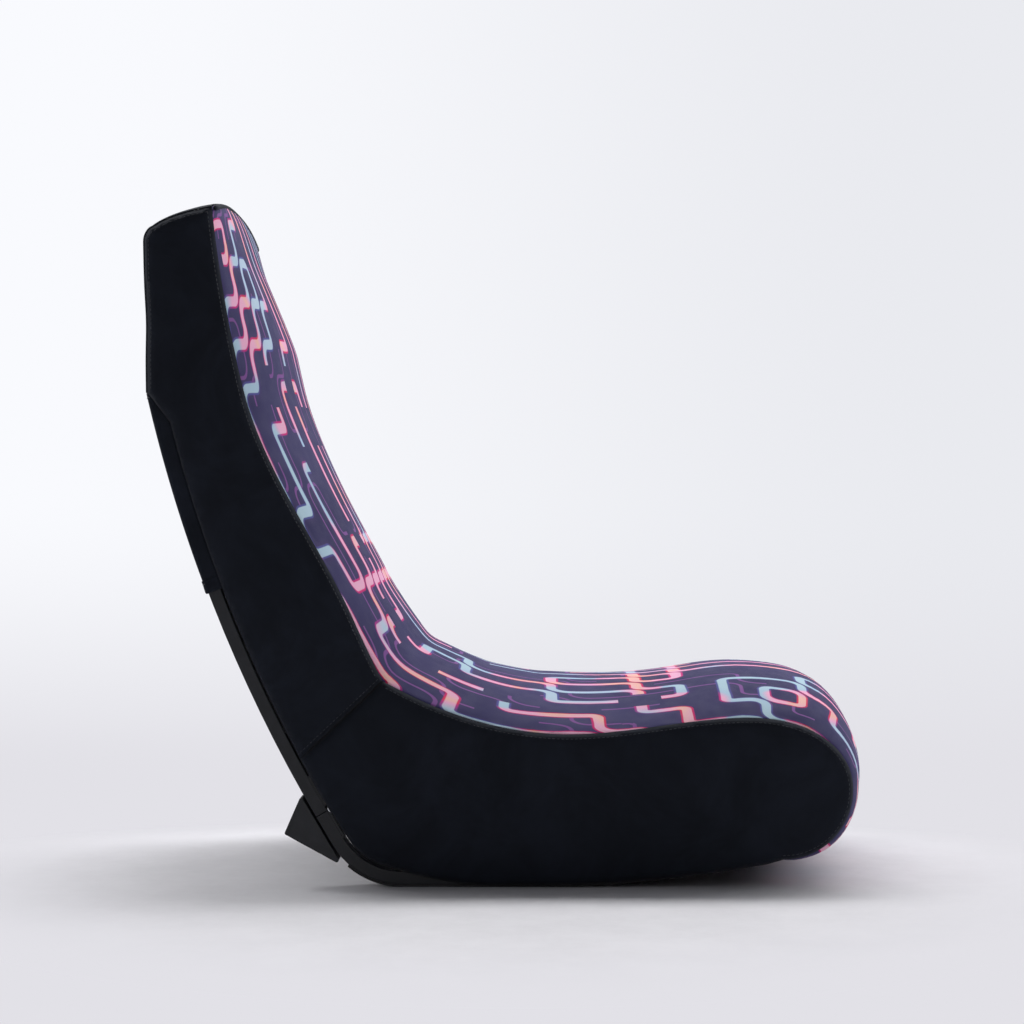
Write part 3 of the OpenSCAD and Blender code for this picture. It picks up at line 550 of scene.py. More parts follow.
def closed_shell(outer, inner):
    """Points and faces of a sheet with thickness, from its two skins of equal rows."""
    rows, columns = outer.shape[:2]
    points = np.concatenate([outer, inner])
    base = rows * columns
    faces = []
    for a, b, c, d in skin_faces(rows, columns):
        faces += [(a, d, c, b), (base + a, base + b, base + c, base + d)]
    rim = (list(range(columns)) + [i * columns + columns - 1 for i in range(1, rows)]
           + [(rows - 1) * columns + j for j in range(columns - 2, -1, -1)]
           + [i * columns for i in range(rows - 2, 0, -1)])
    for a, b in zip(rim, rim[1:] + rim[:1]):
        faces.append((a, b, base + b, base + a))
    return points, faces


def maze(thread, u, v, cell_u, cell_v, corners, flips, lost, seed):
    """Distance from a maze of rounded traces: the borders between cells of two kinds, which
    alternate across the cloth. Groups of columns change over by chance, less often in its middle,
    and there the traces jog or turn back. A lost share of the places between four cells is bare.
    Where two traces meet at a point, they turn away from each other by the wider corner."""
    a, b = u / cell_u + seed, v / cell_v + seed
    i, j = a.math("FLOOR", a), b.math("FLOOR", b)
    x, y = (a - i) * cell_u, (b - j) * cell_v

    def chance(column, row, salt):
        spot = thread.node("CombineXYZ", {}, {0: column, 1: row, 2: salt})
        return thread.node("TexWhiteNoise", {"noise_dimensions": "3D"}, {"Vector": spot})

    def kind(di, dj):
        column, row = i + di, j + dj
        diagonal = column * 0.37 + row * 0.62
        group = diagonal.math("FLOOR", diagonal)
        often = (abs(column - seed) * cell_u).fade(0.03, 0.16, *flips)
        return abs(column.math("MODULO", abs(column), 2.0) - chance(group, row, seed).under(often))

    k00, k10, k01, k11 = kind(0, 0), kind(1, 0), kind(0, 1), kind(1, 1)
    low, high, left, right = abs(k00 - k10), abs(k01 - k11), abs(k00 - k01), abs(k10 - k11)
    alone = {(0, 0): low * left, (1, 0): low * right, (0, 1): high * left, (1, 1): high * right}
    crossed = alone[0, 0] * alone[1, 1]
    alone[1, 0] = alone[1, 0] * (1 - crossed)
    alone[0, 1] = alone[0, 1] * (1 - crossed)
    corner = crossed * (corners[1] - corners[0]) + corners[0]
    across, along = cell_u / 2 - corner, cell_v / 2 - corner
    xs = (x - across, (cell_u - x) - across)
    ys = (y - along, (cell_v - y) - along)
    clear_xs, clear_ys = [q.high(0) for q in xs], [q.high(0) for q in ys]

    def bend(m, n):
        return abs(clear_xs[m].span(clear_ys[n]) + xs[m].high(ys[n]).low(0) - corner)

    far = cell_u + cell_v
    nearest = abs(x - cell_u / 2) + (1 - low * high * (1 - left) * (1 - right)) * far
    nearest = nearest.low(abs(y - cell_v / 2) + (1 - left * right * (1 - low) * (1 - high)) * far)
    for (m, n), lone in alone.items():
        nearest = nearest.low(bend(m, n) + (1 - lone) * far)
    return nearest + chance(i, j, seed + 0.5).under(lost) * far


CLOTH_STEPS, EVENING_PASSES = 18, 10


def spots_of(mesh):
    """A mesh's points as one flat array, in metres."""
    flat = np.empty(len(mesh.vertices) * 3, dtype=np.float32)
    mesh.vertices.foreach_get("co", flat)
    return flat


def stuffed(skin, cap, slack=0.004):
    """Swells a single skin of cloth over its stuffing, its sewn rim held, by at most the cap. The
    cloth's moves are evened out with their neighbours', which irons out its small buckles."""
    start = spots_of(skin.data)
    book = bmesh.new()
    book.from_mesh(skin.data)
    rim = [vert.index for vert in book.verts if vert.is_boundary]
    book.free()
    skin.vertex_groups.new(name="sewn").add(rim, 1.0, "REPLACE")
    stuffing = skin.modifiers.new("stuffing", "CLOTH")
    wants = stuffing.settings
    wants.quality, wants.mass = 6, 0.2
    wants.tension_stiffness = wants.compression_stiffness = 18
    wants.shear_stiffness, wants.bending_stiffness = 8, 0.6
    wants.vertex_group_mass = "sewn"
    wants.use_pressure, wants.uniform_pressure_force = True, 4.0
    wants.shrink_min = -slack
    wants.effector_weights.gravity = 0
    stuffing.collision_settings.use_collision = False
    for step in range(1, CLOTH_STEPS + 1):
        bpy.context.scene.frame_set(step)
    end = spots_of(skin.evaluated_get(bpy.context.evaluated_depsgraph_get()).data)
    skin.modifiers.clear()
    skin.vertex_groups.clear()
    bpy.context.scene.frame_set(1)
    moves = (end - start).reshape(-1, 3)
    edges = np.empty(len(skin.data.edges) * 2, dtype=np.int32)
    skin.data.edges.foreach_get("vertices", edges)
    first, second = edges.reshape(-1, 2).T
    counts = np.bincount(edges, minlength=len(moves))[:, None]
    for _ in range(EVENING_PASSES):
        drawn = np.zeros_like(moves)
        np.add.at(drawn, first, moves[second])
        np.add.at(drawn, second, moves[first])
        moves = (moves + drawn / counts) / 2
        moves[rim] = 0
    lengths = np.maximum(np.linalg.norm(moves, axis=1), 1e-9)
    moves *= (cap * np.tanh(lengths / cap) / lengths)[:, None]
    skin.data.vertices.foreach_set("co", start + moves.ravel())
    skin.data.update()


printed, thread, shader = finish("printed_fabric", Sheen_Weight=0.03, Sheen_Roughness=0.5,
                                 Specular_IOR_Level=0.12)
u, v, _ = thread.node("Attribute", {"attribute_name": "cloth"}, out=1).split()


def cloth_noise(scale, seed, detail=1.0, stretch=1.0):
    spot = thread.node("CombineXYZ", {}, {0: u * stretch, 1: v, 2: seed})
    return thread.node("TexNoise", {}, {"Vector": spot, "Scale": scale, "Detail": detail})


wander = (cloth_noise(6, 4.2) - 0.5) * 0.016
along, cell_u = v * 0.60, 0.033
bold = maze(thread, u + wander, along, cell_u, 0.027, (0.0058, 0.0115), (0.14, 0.5), 0.08, 3.0)
fine = maze(thread, u - wander + 0.017, along + 0.011, cell_u, 0.036, (0.006, 0.012), (0.2, 0.5), 0.5, 11.0)
bold_w = cloth_noise(22, 8.3).fade(0.3, 0.7, 0.0035, 0.0043)
hue = cloth_noise(7.5, 2.9, 1.0, 1.6)
core = hue.node("ValToRGB", {"stops": [
    (0.34, rgb(190, 218, 232)), (0.41, rgb(184, 212, 232)), (0.44, rgb(250, 190, 222)),
    (0.53, rgb(252, 188, 216)), (0.57, rgb(254, 200, 186)), (0.61, rgb(250, 186, 220)),
    (0.67, rgb(196, 218, 236))]}, {"Fac": hue})
rim = hue.node("ValToRGB", {"stops": [
    (0.34, rgb(82, 88, 156)), (0.41, rgb(88, 84, 156)), (0.45, rgb(214, 46, 136)),
    (0.53, rgb(220, 42, 120)), (0.58, rgb(232, 50, 86)), (0.62, rgb(190, 50, 146)),
    (0.68, rgb(84, 90, 160))]}, {"Fac": hue})
ground = cloth_noise(5, 0.4, 3.0).fade(0.3, 0.7).tint(rgb(51, 48, 90), rgb(67, 64, 107))
glow = bold.fade(0.0, 0.010, 1, 0) * 0.5
ink = glow.tint(ground, rgb(84, 56, 118))
ink = fine.fade(0.0009, 0.0015, 1, 0).tint(ink, rgb(132, 84, 152))
edge = bold - bold_w
ink = edge.fade(0.0001, 0.0011, 1, 0).tint(ink, rim)
ink = edge.fade(-0.0010, -0.0003, 1, 0).tint(ink, core)
weave_u, weave_v = (thread.math("SINE", way * 9000) for way in (u, v))
weave = weave_u * weave_v
sunk = ink.node("HueSaturation", {}, {"Color": ink, "Value": 0.86})
plug((weave * 0.5 + 0.5).tint(ink, sunk), shader, "Base Color")
plug(cloth_noise(60, 5.5, 2.0).fade(0.3, 0.7, 0.66, 0.8), shader, "Roughness")
relief(weave, shader, 0.15, 0.0003)

outer = cover_skin(-SWOLLEN)
skin = mesh_piece("cover_skin", outer, skin_faces(*outer.shape[:2], True), printed)
stuffed(skin, 2 * SWOLLEN / 1000, 0)
outer = spots_of(skin.data).reshape(outer.shape) * 1000.0
bpy.data.objects.remove(skin)
cover = mesh_piece("cover_sewn", *closed_shell(outer, cover_skin(-COVER_T - SWOLLEN, False)), printed)

# The cloth's own measure across and along it, in metres, carries the print.
middle = outer[:, outer.shape[1] // 2]
runs = np.concatenate([[0], np.cumsum(np.linalg.norm(np.diff(middle, axis=0), axis=1))])
girths = np.concatenate([np.zeros((len(outer), 1)),
                         np.cumsum(np.linalg.norm(np.diff(outer, axis=1), axis=2), axis=1)], axis=1)
girths -= girths[:, -1:] / 2
measure = np.stack([girths, np.repeat(runs[:, None], outer.shape[1], axis=1), girths * 0], axis=2) / 1000
measure = np.tile(measure.reshape(-1, 3), (2, 1))
cover.data.attributes.new("cloth", "FLOAT_VECTOR", "POINT").data.foreach_set("vector", measure.ravel())


def settle(piece, body, node=None):
    """Attaches the piece to the body it rides on, or bakes its place into its mesh, and hides the CAD node it
    stands for.
    Cloth and foam that cross the hinge have no body of their own."""
    if body:
        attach(piece, body)
    else:
        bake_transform(piece)
    if node:
        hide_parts(node)


settle(cover, None, "printed_cover")


# ---- Foam ----
# Cut blocks of cream open-cell foam under the cover, one of them a wedge in the crease.
foam_rubber, thread, shader = finish("foam_rubber", Specular_IOR_Level=0.2)
cells = cells_at(thread, 420)
plug(cells.fade(0.1, 0.7).tint(rgb(196, 186, 150), rgb(228, 220, 190)), shader, "Base Color")
plug(cells.fade(0.1, 0.7, 0.85, 0.95), shader, "Roughness")
relief(cells, shader, 0.5, 0.0012)

foam_places = list(np.linspace(-FOAM_X + 4.5, FOAM_X - 4.5, 31))
HEAD_CUT, FOLD_S, FOLD_Y = 480, 252, -88
BOARD_TOP, UNDER, BACK_FOAM_T = 9.8, 12.4, 13.2


def facing_out(piece, close=False):
    """Turns all faces outwards, after closing open ends where asked."""
    book = bmesh.new()
    book.from_mesh(piece.data)
    if close:
        bmesh.ops.remove_doubles(book, verts=book.verts, dist=0.00001)
        bmesh.ops.holes_fill(book, edges=[edge for edge in book.edges if edge.is_boundary])
    bmesh.ops.recalc_face_normals(book, faces=book.faces)
    book.to_mesh(piece.data)
    book.free()


def foam_block(name, node, body, stations, rear, hub):
    """A block from its printed side back to its rear outline, closed by fans about the hub."""
    rings = []
    for x in foam_places:
        front = [cover_point(q, x, -COVER_T - SWOLLEN - 0.8) for q in stations]
        rings.append([(x, *p) for p in front + rear])
    rings = np.array(rings)
    count, size = rings.shape[:2]
    points = list(rings.reshape(-1, 3)) + [(foam_places[0], *hub), (foam_places[-1], *hub)]
    last = (count - 1) * size
    faces = []
    for i, k in zip(range(size), list(range(1, size)) + [0]):
        faces += [(j + i, j + k, j + size + k, j + size + i) for j in range(0, last, size)]
        faces += [(count * size, k, i), (count * size + 1, last + i, last + k)]
    block = mesh_piece(name, points, faces, foam_rubber)
    facing_out(block)
    settle(block, body, node)


def back_edge(s0, s1, t, count=12):
    return [back_pt(s, t) for s in np.linspace(s0, s1, count)]


entry = kink + head_way * np.linalg.norm(back_pt(560, REAR_T) - kink) + 2.6 * head_in
arc_start = head_corner - (HEAD_ROUND + 1) * head_way
pad_low = kink + 3 * head_way + 8.6 * head_in
foam_block("foam_back", "back_foam", "backrest",
           run(back_station, HEAD_CUT - 1, FOLD_S + 1, 30) + [back_station(FOLD_S + 1)],
           back_edge(15, HEAD_CUT - 1, BACK_FOAM_T), back_pt(330, 50))
foam_block("foam_corner", "corner_foam", None,
           run(back_station, FOLD_S - 1, CREASE_S, 20)
           + run(seat_station, CREASE[0], FOLD_Y + 1, 26) + [seat_station(FOLD_Y + 1)],
           [leg_pt(1, UNDER + 1), back_pt(11, BACK_FOAM_T)], leg_pt(60, 70))
foam_block("foam_seat", "seat_foam", "base",
           run(seat_station, FOLD_Y - 1, -CREST[0], 24) + run(brow_station, 0, 1, 16)
           + run(chin_station, 0, 1, 12) + [chin_station(1), chin_end, tuck],
           [rise_pt(d, BOARD_TOP + 0.6) for d in np.linspace(215, 0, 16)]
           + [np.array([BEND_C[0] - 30, 25.8])]
           + bend_edge(-104, -LEG_LEAN, UNDER + 0.6) + [leg_pt(-3, UNDER + 0.6)], (-257, 100))
foam_block("foam_head", "head_foam", "backrest",
           run(back_station, HEAD_S - 3, HEAD_CUT + 1, 22) + [back_station(HEAD_CUT + 1)],
           back_edge(HEAD_CUT + 1, 561, BACK_FOAM_T)
           + [back_pt(561, 3.5), entry + 9 * head_in, arc_start + 9 * head_in,
              between(head_corner, head_front, 0.18) - [0, 5],
              between(head_corner, head_front, 0.6) - [0, 4]], back_pt(563, 42))
foam_block("foam_head_pad", "head_pad", "backrest", [],
           [pad_low, back_pt(518, 1.8)] + back_edge(518, 468, 2.8, 6), back_pt(490, -0.5))


# ---- Side panels ----
# Two pieces of black suede-like fabric a side, cut to the side view, stuffed out by the foam and
# topstitched beside their seams.
suede, thread, shader = finish("black_suede", Sheen_Weight=0.04, Sheen_Roughness=0.4,
                               Specular_IOR_Level=0.1)
brushed = grain_at(thread, 11, 4, roughness=0.62, Distortion=0.6)
fibres = grain_at(thread, 1400, 2)
nap = brushed.fade(0.28, 0.74) * 0.65 + fibres * 0.35
plug(nap.tint(rgb(24, 27, 33), rgb(38, 42, 52)), shader, "Base Color")
plug(fibres.fade(0.3, 0.7, 0.82, 0.95), shader, "Roughness")
relief(fibres + brushed * 0.6, shader, 0.22, 0.0006)


def dense(outline, step=5):
    """A closed outline with no gap wider than the step."""
    spots = []
    for a, b in zip(outline, outline[1:] + outline[:1]):
        count = max(1, math.ceil(np.linalg.norm(b - a) / step))
        spots += [between(a, b, i / count) for i in range(count)]
    return spots


def edge_gap(spots, outline):
    """The distance of each spot from a closed outline."""
    spots, starts = np.array(spots), np.array(outline)
    ways = np.roll(starts, -1, axis=0) - starts
    sizes = np.maximum((ways ** 2).sum(axis=1), 1e-9)
    offs = spots[:, None] - starts[None]
    along = np.clip((offs * ways).sum(axis=2) / sizes, 0, 1)
    return np.linalg.norm(offs - along[..., None] * ways, axis=2).min(axis=1)


def panel_x(y, z, gap):
    """How far out the stuffed panel stands: it rolls in to its seams and swells in the middle."""
    roll = 1 - quarter_round(gap / 15)
    soft = 0.9 * noise.noise(Vector((y * 0.011, z * 0.011, 2.3))) * smooth(gap / 60)
    pull = 0.7 * noise.noise(Vector((y * 0.06, z * 0.06, 5.1))) * smooth(gap / 5) * (1 - smooth(gap / 34))
    return HALF_W - 5.5 * roll + 3.0 * smooth((gap - 8) / 90) + soft + pull


def plain(piece):
    """Turns a piece and its modifiers into a plain mesh."""
    made = bpy.data.meshes.new_from_object(piece.evaluated_get(bpy.context.evaluated_depsgraph_get()))
    if piece.type == "MESH":
        piece.modifiers.clear()
        piece.data = made
        return piece
    fresh = placed(piece.name + "_made", made)
    bpy.data.objects.remove(piece)
    return fresh


def within(spots, outline):
    """Which spots lie inside a closed outline."""
    nexts = np.roll(outline, -1, axis=0)
    y, z = spots[:, None, 0], spots[:, None, 1]
    with np.errstate(divide="ignore", invalid="ignore"):
        crossing = outline[:, 0] + (nexts - outline)[:, 0] * (z - outline[:, 1]) / (nexts - outline)[:, 1]
    turns = (outline[:, 1] > z) != (nexts[:, 1] > z)
    return (turns & (y < crossing)).sum(axis=1) % 2 == 1


def side_panel(name, outline, side):
    """A stuffed panel, meshed twice as finely in a band beside its seams as in its middle."""
    edge, pitch, clear, band = np.array(dense(outline)), 5, 2.6, 26
    low, high = edge.min(axis=0), edge.max(axis=0)
    ys, zs = np.arange(low[0], high[0], pitch), np.arange(low[1], high[1], pitch)
    lattice = np.array([(y, z) for y in ys for z in zs])
    odd = (np.arange(len(ys))[:, None] % 2 + np.arange(len(zs)) % 2).ravel() > 0
    gaps = edge_gap(lattice, edge)
    kept = within(lattice, edge) & (gaps > clear) & ((gaps < band) | ~odd)
    spots = [Vector(q) for q in np.concatenate([edge, lattice[kept]])]
    flat, _, faces, *_ = geometry.delaunay_2d_cdt(spots, [], [list(range(len(edge)))], 1, 0.001)
    points = [(side * panel_x(*q, gap), *q) for q, gap in zip(flat, edge_gap(flat, edge))]
    faces = [tuple(f) if side > 0 else tuple(reversed(f)) for f in faces]
    panel = mesh_piece(name, points, faces, suede)
    stuffed(panel, 0.003)
    wall = panel.modifiers.new("cloth", "SOLIDIFY")
    wall.thickness, wall.offset = 0.0025, -1
    return plain(panel)


def seam_of(stations):
    return [q[0] for q in stations]


seat_outline = (seam_of(seat_stations)
                + [np.array([y, low_z(y)]) for y in np.linspace(CHIN_FLAT - CHIN[0], heel[0], 60)[:-1]]
                + bend_edge(HEEL_A, -LEG_LEAN, PANEL_LAP) + [leg_pt(0, 2.5), back_pt(CREASE_RAIL_S, 2.5)])
round_c = head_corner - HEAD_ROUND * (head_out + top_out) / (1 + head_out @ top_out)
HEAD_DIP, TOP_LIFT, TOP_SWELL = 1.4, 2.2, 3.6
arc_from, arc_to = (math.degrees(math.atan2(way[1], way[0])) for way in (head_out, top_out))


def head_rows():
    """Points round the head from the kink over its rear top corner to the front, with the way out
    and the arch of the middle. The rear dips in and the top swells up a little."""
    rear_end, top_start = round_c + HEAD_ROUND * head_out, round_c + HEAD_ROUND * top_out
    rows = [(between(kink, rear_end, u) - HEAD_DIP * math.exp(-((u - 0.47) / 0.2) ** 2) * head_out,
             head_out, 0) for u in np.linspace(0, 1, 34)[:-1]]
    rows += [(round_c + HEAD_ROUND * heading(a) + TOP_LIFT * smooth(i / 8) * top_out, heading(a), None)
             for i, a in enumerate(np.linspace(arc_from, arc_to, 9))]
    rows += [(between(top_start, head_front, u)
              + (TOP_LIFT + TOP_SWELL * math.sin(math.pi * u ** 0.8)) * top_out, top_out, None)
             for u in np.linspace(0, 1, 22)[1:]]
    made = []
    for spot, out, arch in rows:
        along = (spot - head_corner) @ top_way / np.linalg.norm(head_front - head_corner)
        if arch is None:
            arch = HEAD_ARCH * between(0.5, 1, smooth(along))
        made.append((spot, out, arch * smooth((spot[1] - (head_corner[1] - 60)) / 50)))
    return made


head_edge = [spot - 2 * out for spot, out, _ in head_rows()]
back_outline = (seam_of(back_stations) + [CREASE] + back_edge(CREASE_RAIL_S, KINK_S - 36, 3, 30)
                + head_edge[:-1])
HANDS = {"left": 1, "right": -1}
panels = {}
for hand, side in HANDS.items():
    for half, outline in (("seat", seat_outline), ("back", back_outline)):
        panel = side_panel(f"side_{half}_{hand}", outline, side)
        settle(panel, None, f"{half}_side_panel_{hand}")
        panels[half, hand] = panel


# ---- Topstitching ----
# Rows of black polyester thread beside the seams of the side panels, one stitch every 4.6 mm. They
# lie 4.5 mm inside the seams and hold the turned edges down.
thread_black, thread, shader = finish("thread_black", Specular_IOR_Level=0.4, Roughness=0.55)
plug(grain_at(thread, 300, 2).fade(0.3, 0.7).tint(rgb(30, 31, 36), rgb(52, 54, 62)), shader, "Base Color")


def stitch_tree():
    """Stitches along a curve: flattened beads at a fixed pitch, turned with it."""
    tree = bpy.data.node_groups.new("stitches", "GeometryNodeTree")
    sockets = {}
    for name, kind in (("Geometry", "Geometry"), ("Pitch", "Float"), ("Stitch length", "Float"),
                       ("Thread thickness", "Float"), ("Thread", "Material")):
        made = tree.interface.new_socket(name, in_out="INPUT", socket_type="NodeSocket" + kind)
        sockets[name] = made.identifier
    tree.interface.new_socket("Geometry", in_out="OUTPUT", socket_type="NodeSocketGeometry")
    new = tree.nodes.new
    entry, leave = new("NodeGroupInput"), new("NodeGroupOutput")
    spots = new("GeometryNodeCurveToPoints")
    spots.mode = "LENGTH"
    bead = new("GeometryNodeMeshUVSphere")
    bead.inputs["Segments"].default_value = 6
    bead.inputs["Rings"].default_value = 5
    bead.inputs["Radius"].default_value = 0.5
    size, place = new("ShaderNodeCombineXYZ"), new("GeometryNodeInstanceOnPoints")
    real, coat = new("GeometryNodeRealizeInstances"), new("GeometryNodeSetMaterial")
    for start, outlet, end, inlet in (
            (entry, "Geometry", spots, "Curve"), (entry, "Pitch", spots, "Length"),
            (entry, "Thread thickness", size, 0), (entry, "Thread thickness", size, 1),
            (entry, "Stitch length", size, 2), (size, 0, place, "Scale"),
            (spots, "Points", place, "Points"), (spots, "Rotation", place, "Rotation"),
            (bead, "Mesh", place, "Instance"), (place, "Instances", real, "Geometry"),
            (real, "Geometry", coat, "Geometry"), (entry, "Thread", coat, "Material"),
            (coat, "Geometry", leave, "Geometry")):
        tree.links.new(start.outputs[outlet], end.inputs[inlet])
    return tree, sockets


stitches, stitch_sockets = stitch_tree()


def stitch_row(path, material, pitch=4.6, length=3.2, thick=0.9):
    """One row of stitches along points, with all sizes in millimetres."""
    line = bpy.data.curves.new("row", "CURVE")
    line.dimensions = "3D"
    spline = line.splines.new("POLY")
    spline.points.add(len(path) - 1)
    for spot, place in zip(spline.points, path):
        spot.co = (*np.array(place) / 1000, 1)
    row = placed("row", line)
    sewing = row.modifiers.new("sewing", "NODES")
    sewing.node_group = stitches
    sewing[stitch_sockets["Thread"]] = material
    for socket, size in (("Pitch", pitch), ("Stitch length", length), ("Thread thickness", thick)):
        sewing[stitch_sockets[socket]] = size / 1000
    return plain(row)


STITCH_IN = 4.5


def on_panel(line, half, hand):
    """A line of spots moved off a seam into its panel, on the panel's outer face."""
    skin, side, path = panels[half, hand].data, HANDS[hand], []
    tree = BVHTree.FromPolygons([v.co for v in skin.vertices], [p.vertices for p in skin.polygons])
    for i, spot in enumerate(line):
        y, z = spot + STITCH_IN * left_of(line[min(i + 1, len(line) - 1)] - line[max(i - 1, 0)])
        hit = tree.ray_cast(Vector((side * 0.4, y / 1000, z / 1000)), Vector((-side, 0, 0)))[0]
        if hit:
            path.append(((hit.x + side * 0.0001) * 1000, y, z))
    return path


def sewn_rows(name, paths, material=thread_black, **sizes):
    """Several rows of stitches as one piece."""
    book = bmesh.new()
    for path in paths:
        row = stitch_row(path, material, **sizes)
        book.from_mesh(row.data)
        bpy.data.objects.remove(row)
    mesh = bpy.data.meshes.new(name)
    book.to_mesh(mesh)
    book.free()
    mesh.materials.append(material)
    return placed(name, mesh)


back_front_seam = seam_of(run(back_station, HEAD_S - 6, CREASE_S + 5, 110))
low_seam = [between(CREASE, back_pt(CREASE_RAIL_S, 1.2), u) for u in np.linspace(0.03, 0.97, 30)]
for hand in HANDS:
    for half, lines in (("back", (back_front_seam, head_edge[1:-2], low_seam)),
                        ("seat", (seat_outline[1:len(seat_stations)],))):
        sewn = sewn_rows(f"stitches_{half}_{hand}", [on_panel(line, half, hand) for line in lines])
        settle(sewn, None)


# ---- Head rear panel ----
# One black piece over the rear and top of the head, sewn to both side panels. A narrow binding
# covers its seam with the printed cover.
def grid_sheet(name, rows, wall, material, turned=False):
    """A sheet with this wall in millimetres behind its outer face, from rows of points."""
    made = mesh_piece(name, rows, skin_faces(len(rows), len(rows[0]), turned), material)
    cloth = made.modifiers.new("cloth", "SOLIDIFY")
    cloth.thickness, cloth.offset = wall / 1000, -1
    return plain(made)


def arched(x):
    """The share of the head's arch that a place across it has."""
    return 1 - (abs(x) / SIDE_SEAM_X) ** 2.4


SIDE_SEAM_X, BINDING_IN, BINDING_R = HALF_W - 5.5, 2.5, 3.0
near_seam = [SIDE_SEAM_X - g for g in (0, 0.8, 2, 4, 7, 11, 16)]
sheet_places = [-x for x in near_seam] + list(np.linspace(-SIDE_SEAM_X + 24, SIDE_SEAM_X - 24, 45))
sheet_places += reversed(near_seam)
rows = []
for i, (spot, out, arch) in enumerate(head_rows()):
    row = []
    for x in sheet_places:
        gap = SIDE_SEAM_X - abs(x)
        wave = 0.8 * noise.noise(Vector((x * 0.02, i * 0.12, 7.7))) * smooth(gap / 30)
        off = 0.6 - 2 * (1 - quarter_round(gap / 14)) + wave
        row.append((x, *(spot + out * off + [0, arch * arched(x)])))
    rows.append(row)
settle(grid_sheet("head_rear_sewn", rows, 1.4, suede, True), "backrest", "head_rear_panel")

rows = []
for x in np.linspace(-SIDE_SEAM_X + BINDING_IN, SIDE_SEAM_X - BINDING_IN, 71):
    core = head_front + top_out * 0.6 + [-2.6, HEAD_ARCH * arched(x) - 1.5]
    thick = between(0.6, BINDING_R, smooth((SIDE_SEAM_X - BINDING_IN - abs(x)) / 9) ** 0.5)
    rows.append([(x, *(core + thick * heading(a))) for a in np.linspace(0, 360, 13)])
binding = mesh_piece("head_binding", rows, skin_faces(71, 13), suede)
facing_out(binding, close=True)
settle(binding, "backrest")


# ---- Rear pocket ----
# A sleeve of the same black fabric that slides over the back rails, sewn to the head panel and to
# the lining behind the board. Its lower edge is turned up in a stitched hem.
POCKET_S, POCKET_TOP, HEM_W, POCKET_X, LINING_T = 253, 465, 14, 205.6, 2.3


def path_length(spots):
    return sum(np.linalg.norm(np.subtract(b, a)) for a, b in zip(spots, spots[1:]))


def pocket_row(s, off, wavy=False):
    """One line round the sleeve, from the lining round both rails and back to the lining."""
    corner, row = 4.5, []
    flat_x, rear = POCKET_X + off - corner, REAR_T - off
    path = [(POCKET_X + off, t) for t in np.linspace(LINING_T, rear + corner, 7)[:-1]]
    path += [(flat_x + corner * heading(a)[0], rear + corner - corner * heading(a)[1])
             for a in np.linspace(0, 90, 7)]
    half = path + [(x, rear) for x in np.linspace(flat_x, 0, 24)[1:]]
    for x, t in half + [(-x, t) for x, t in reversed(half[:-1])]:
        if wavy and abs(x) < flat_x:
            free = smooth((flat_x - abs(x)) / 60)
            t -= 0.9 * free * max(0, noise.noise(Vector((x * 0.013, s * 0.016 + abs(x) * 0.006, 1.9))) + 0.25)
        row.append((x, *back_pt(s, t)))
    return row


rows = [pocket_row(s, 0, True) for s in np.linspace(POCKET_S, POCKET_TOP, 46)]
pocket = grid_sheet("pocket_sleeve", rows, 1.3, suede)
settle(pocket, "backrest", "rear_pocket")

# The hem's profile: how far up it is and how far it stands out. It bulges on both sides of its stitches.
hem_profile = [(0, 0.1), (0.4, 0.8), (1.6, 1.2), (5, 1.1), (9, 0.9), (10.2, 0.45), (11.4, 0.9), (13, 1.0),
               (13.8, 0.6), (HEM_W, 0.1)]
rows = [pocket_row(POCKET_S - 0.6 + up, out) for up, out in hem_profile]
hem = grid_sheet("pocket_hem_turned", rows, 0.9, suede)
settle(hem, "backrest", "pocket_hem")
pocket_w = path_length(pocket_row(POCKET_S, 0)) / 1000
lines = [pocket_row(POCKET_S + 9.6, 0.9)[8:-8], pocket_row(POCKET_TOP - 5, 0.3)[8:-8]]
settle(sewn_rows("stitches_pocket", lines), "backrest")


# ---- Lining and under panel ----
# Black fabric that closes the rear of the back board, and the sheet that wraps the seat foam from
# the hinge round the bend and is stapled to the board's rear edge.
def wide_row(place, x_end, ripple, seed, i):
    """A row across the chair: place gives the point for a depth off the sheet's own line."""
    row = []
    for x in np.linspace(-x_end, x_end, 57):
        free = 1 - smooth((abs(x) - 125) / 30)
        wave = ripple * free * max(0, noise.noise(Vector((x * 0.014, i * 0.11, seed))) + 0.2)
        row.append((x, *place(wave)))
    return row


LINING_S = 10.5
rows = [wide_row(lambda wave: back_pt(s, LINING_T + 0.1 - wave), SIDE_SEAM_X, 1.2, 3.1, i)
        for i, s in enumerate(np.linspace(LINING_S, POCKET_TOP, 58))]
lining = grid_sheet("lining_sheet", rows, 1.3, suede, True)
settle(lining, "backrest", "back_lining")

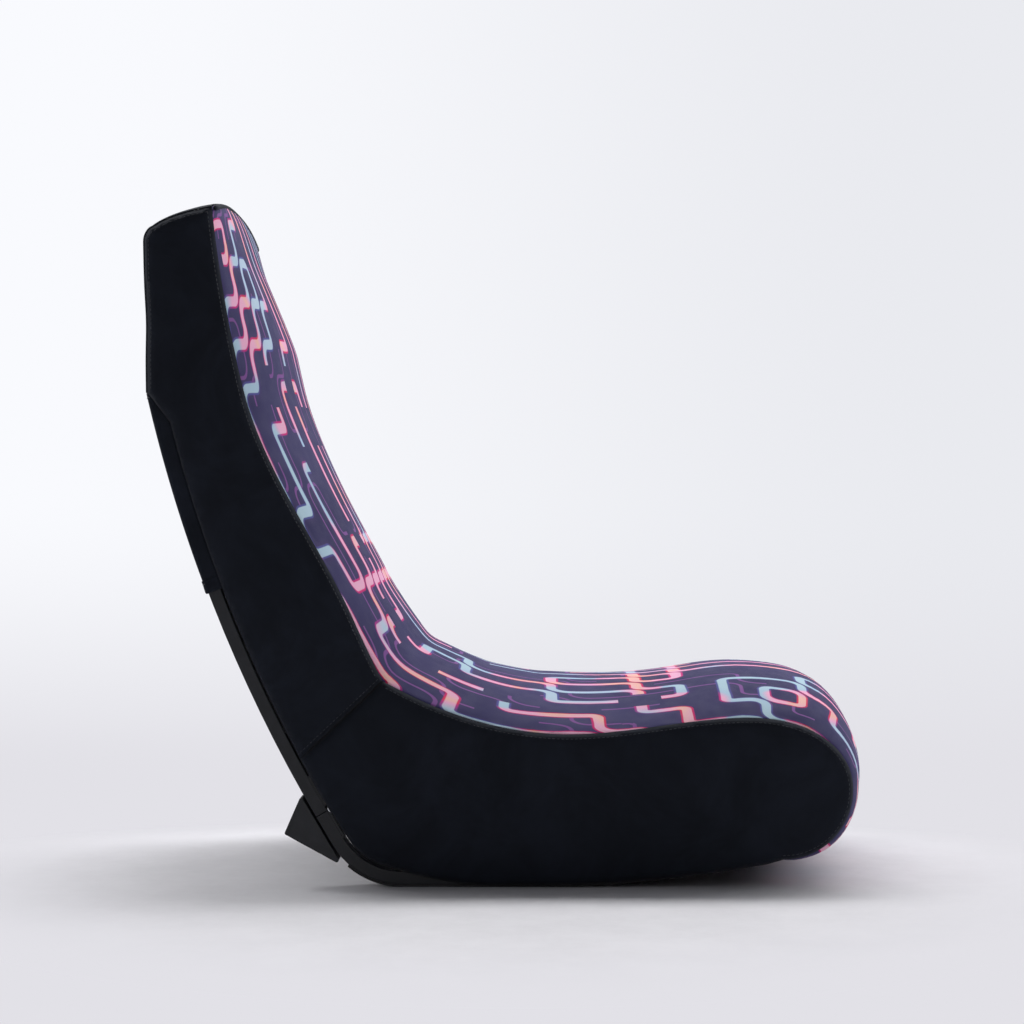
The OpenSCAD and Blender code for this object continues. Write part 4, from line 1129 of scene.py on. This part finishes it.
# The under panel starts above the cut, between the hinges, and ends turned up behind the board.
UNDER_T, BOARD_REAR, BOARD_LOW, BEND_END, HINGE_CLEAR_X = 10.9, 31, 0.8, -104, 160
under_spots = [leg_pt(u, UNDER_T) for u in (8.2, 4, -0.1)]
under_spots += bend_edge(-LEG_LEAN, BEND_END, UNDER_T, 30)
slack_rows = len(under_spots)
flat_end = np.array([BEND_C[0] - BOARD_REAR + 0.2, BEND_C[1] - BEND_R + BOARD_LOW + 0.3])
under_spots += [between(under_spots[-1], flat_end, u) for u in (0.35, 0.7, 1)]
under_spots += [flat_end + [0, h] for h in (3, 6, 9)]
under_ways = np.gradient(np.array(under_spots), axis=0)
rows = []
for i, (spot, way) in enumerate(zip(under_spots, under_ways)):
    out = left_of(way) * smooth((slack_rows - i) / 6)
    reach_x = HINGE_CLEAR_X if i < 2 else SIDE_SEAM_X
    rows.append(wide_row(lambda wave: spot + out * wave, reach_x, 0.9, 8.4, i))
under = grid_sheet("under_sheet", rows, 1.3, suede)
settle(under, "base", "under_panel")


# ---- Dust cover ----
# Thin black spun-bonded fabric under the seat board, stapled along its front and rear edges. It
# hides the bolts and keeps dust out of the foam.
dust_fabric, thread, shader = finish("dust_fabric", Specular_IOR_Level=0.2)
spun = cells_at(thread, 600, Randomness=0.25)
plug(spun.fade(0.1, 0.5).tint(rgb(44, 44, 47), rgb(27, 27, 30)), shader, "Base Color")
plug(spun.fade(0.1, 0.5, 0.8, 0.92), shader, "Roughness")
relief(spun, shader, 0.3, 0.0004)
DUST_X, DUST_FRONT = 192, 216
dust_spots = [flat_end + [-0.6 - d, -0.3] for d in np.linspace(0, BEND_C[0] - BOARD_REAR - RISE_C[0], 18)]
dust_spots += [rise_pt(d, 0.5) for d in np.linspace(4, DUST_FRONT, 26)]
rows = [[(x, *spot) for x in np.linspace(-DUST_X, DUST_X, 33)] for spot in dust_spots]
dust = grid_sheet("dust_sheet", rows, 0.4, dust_fabric)
settle(dust, "base", "dust_cover")
lines = [[(x, y, z - 0.5) for x in np.linspace(-150, 150, 40)] for y, z in (dust_spots[1], dust_spots[-2])]
settle(sewn_rows("staples", lines, zinc_plate, pitch=34, length=9.0, thick=0.7), "base")
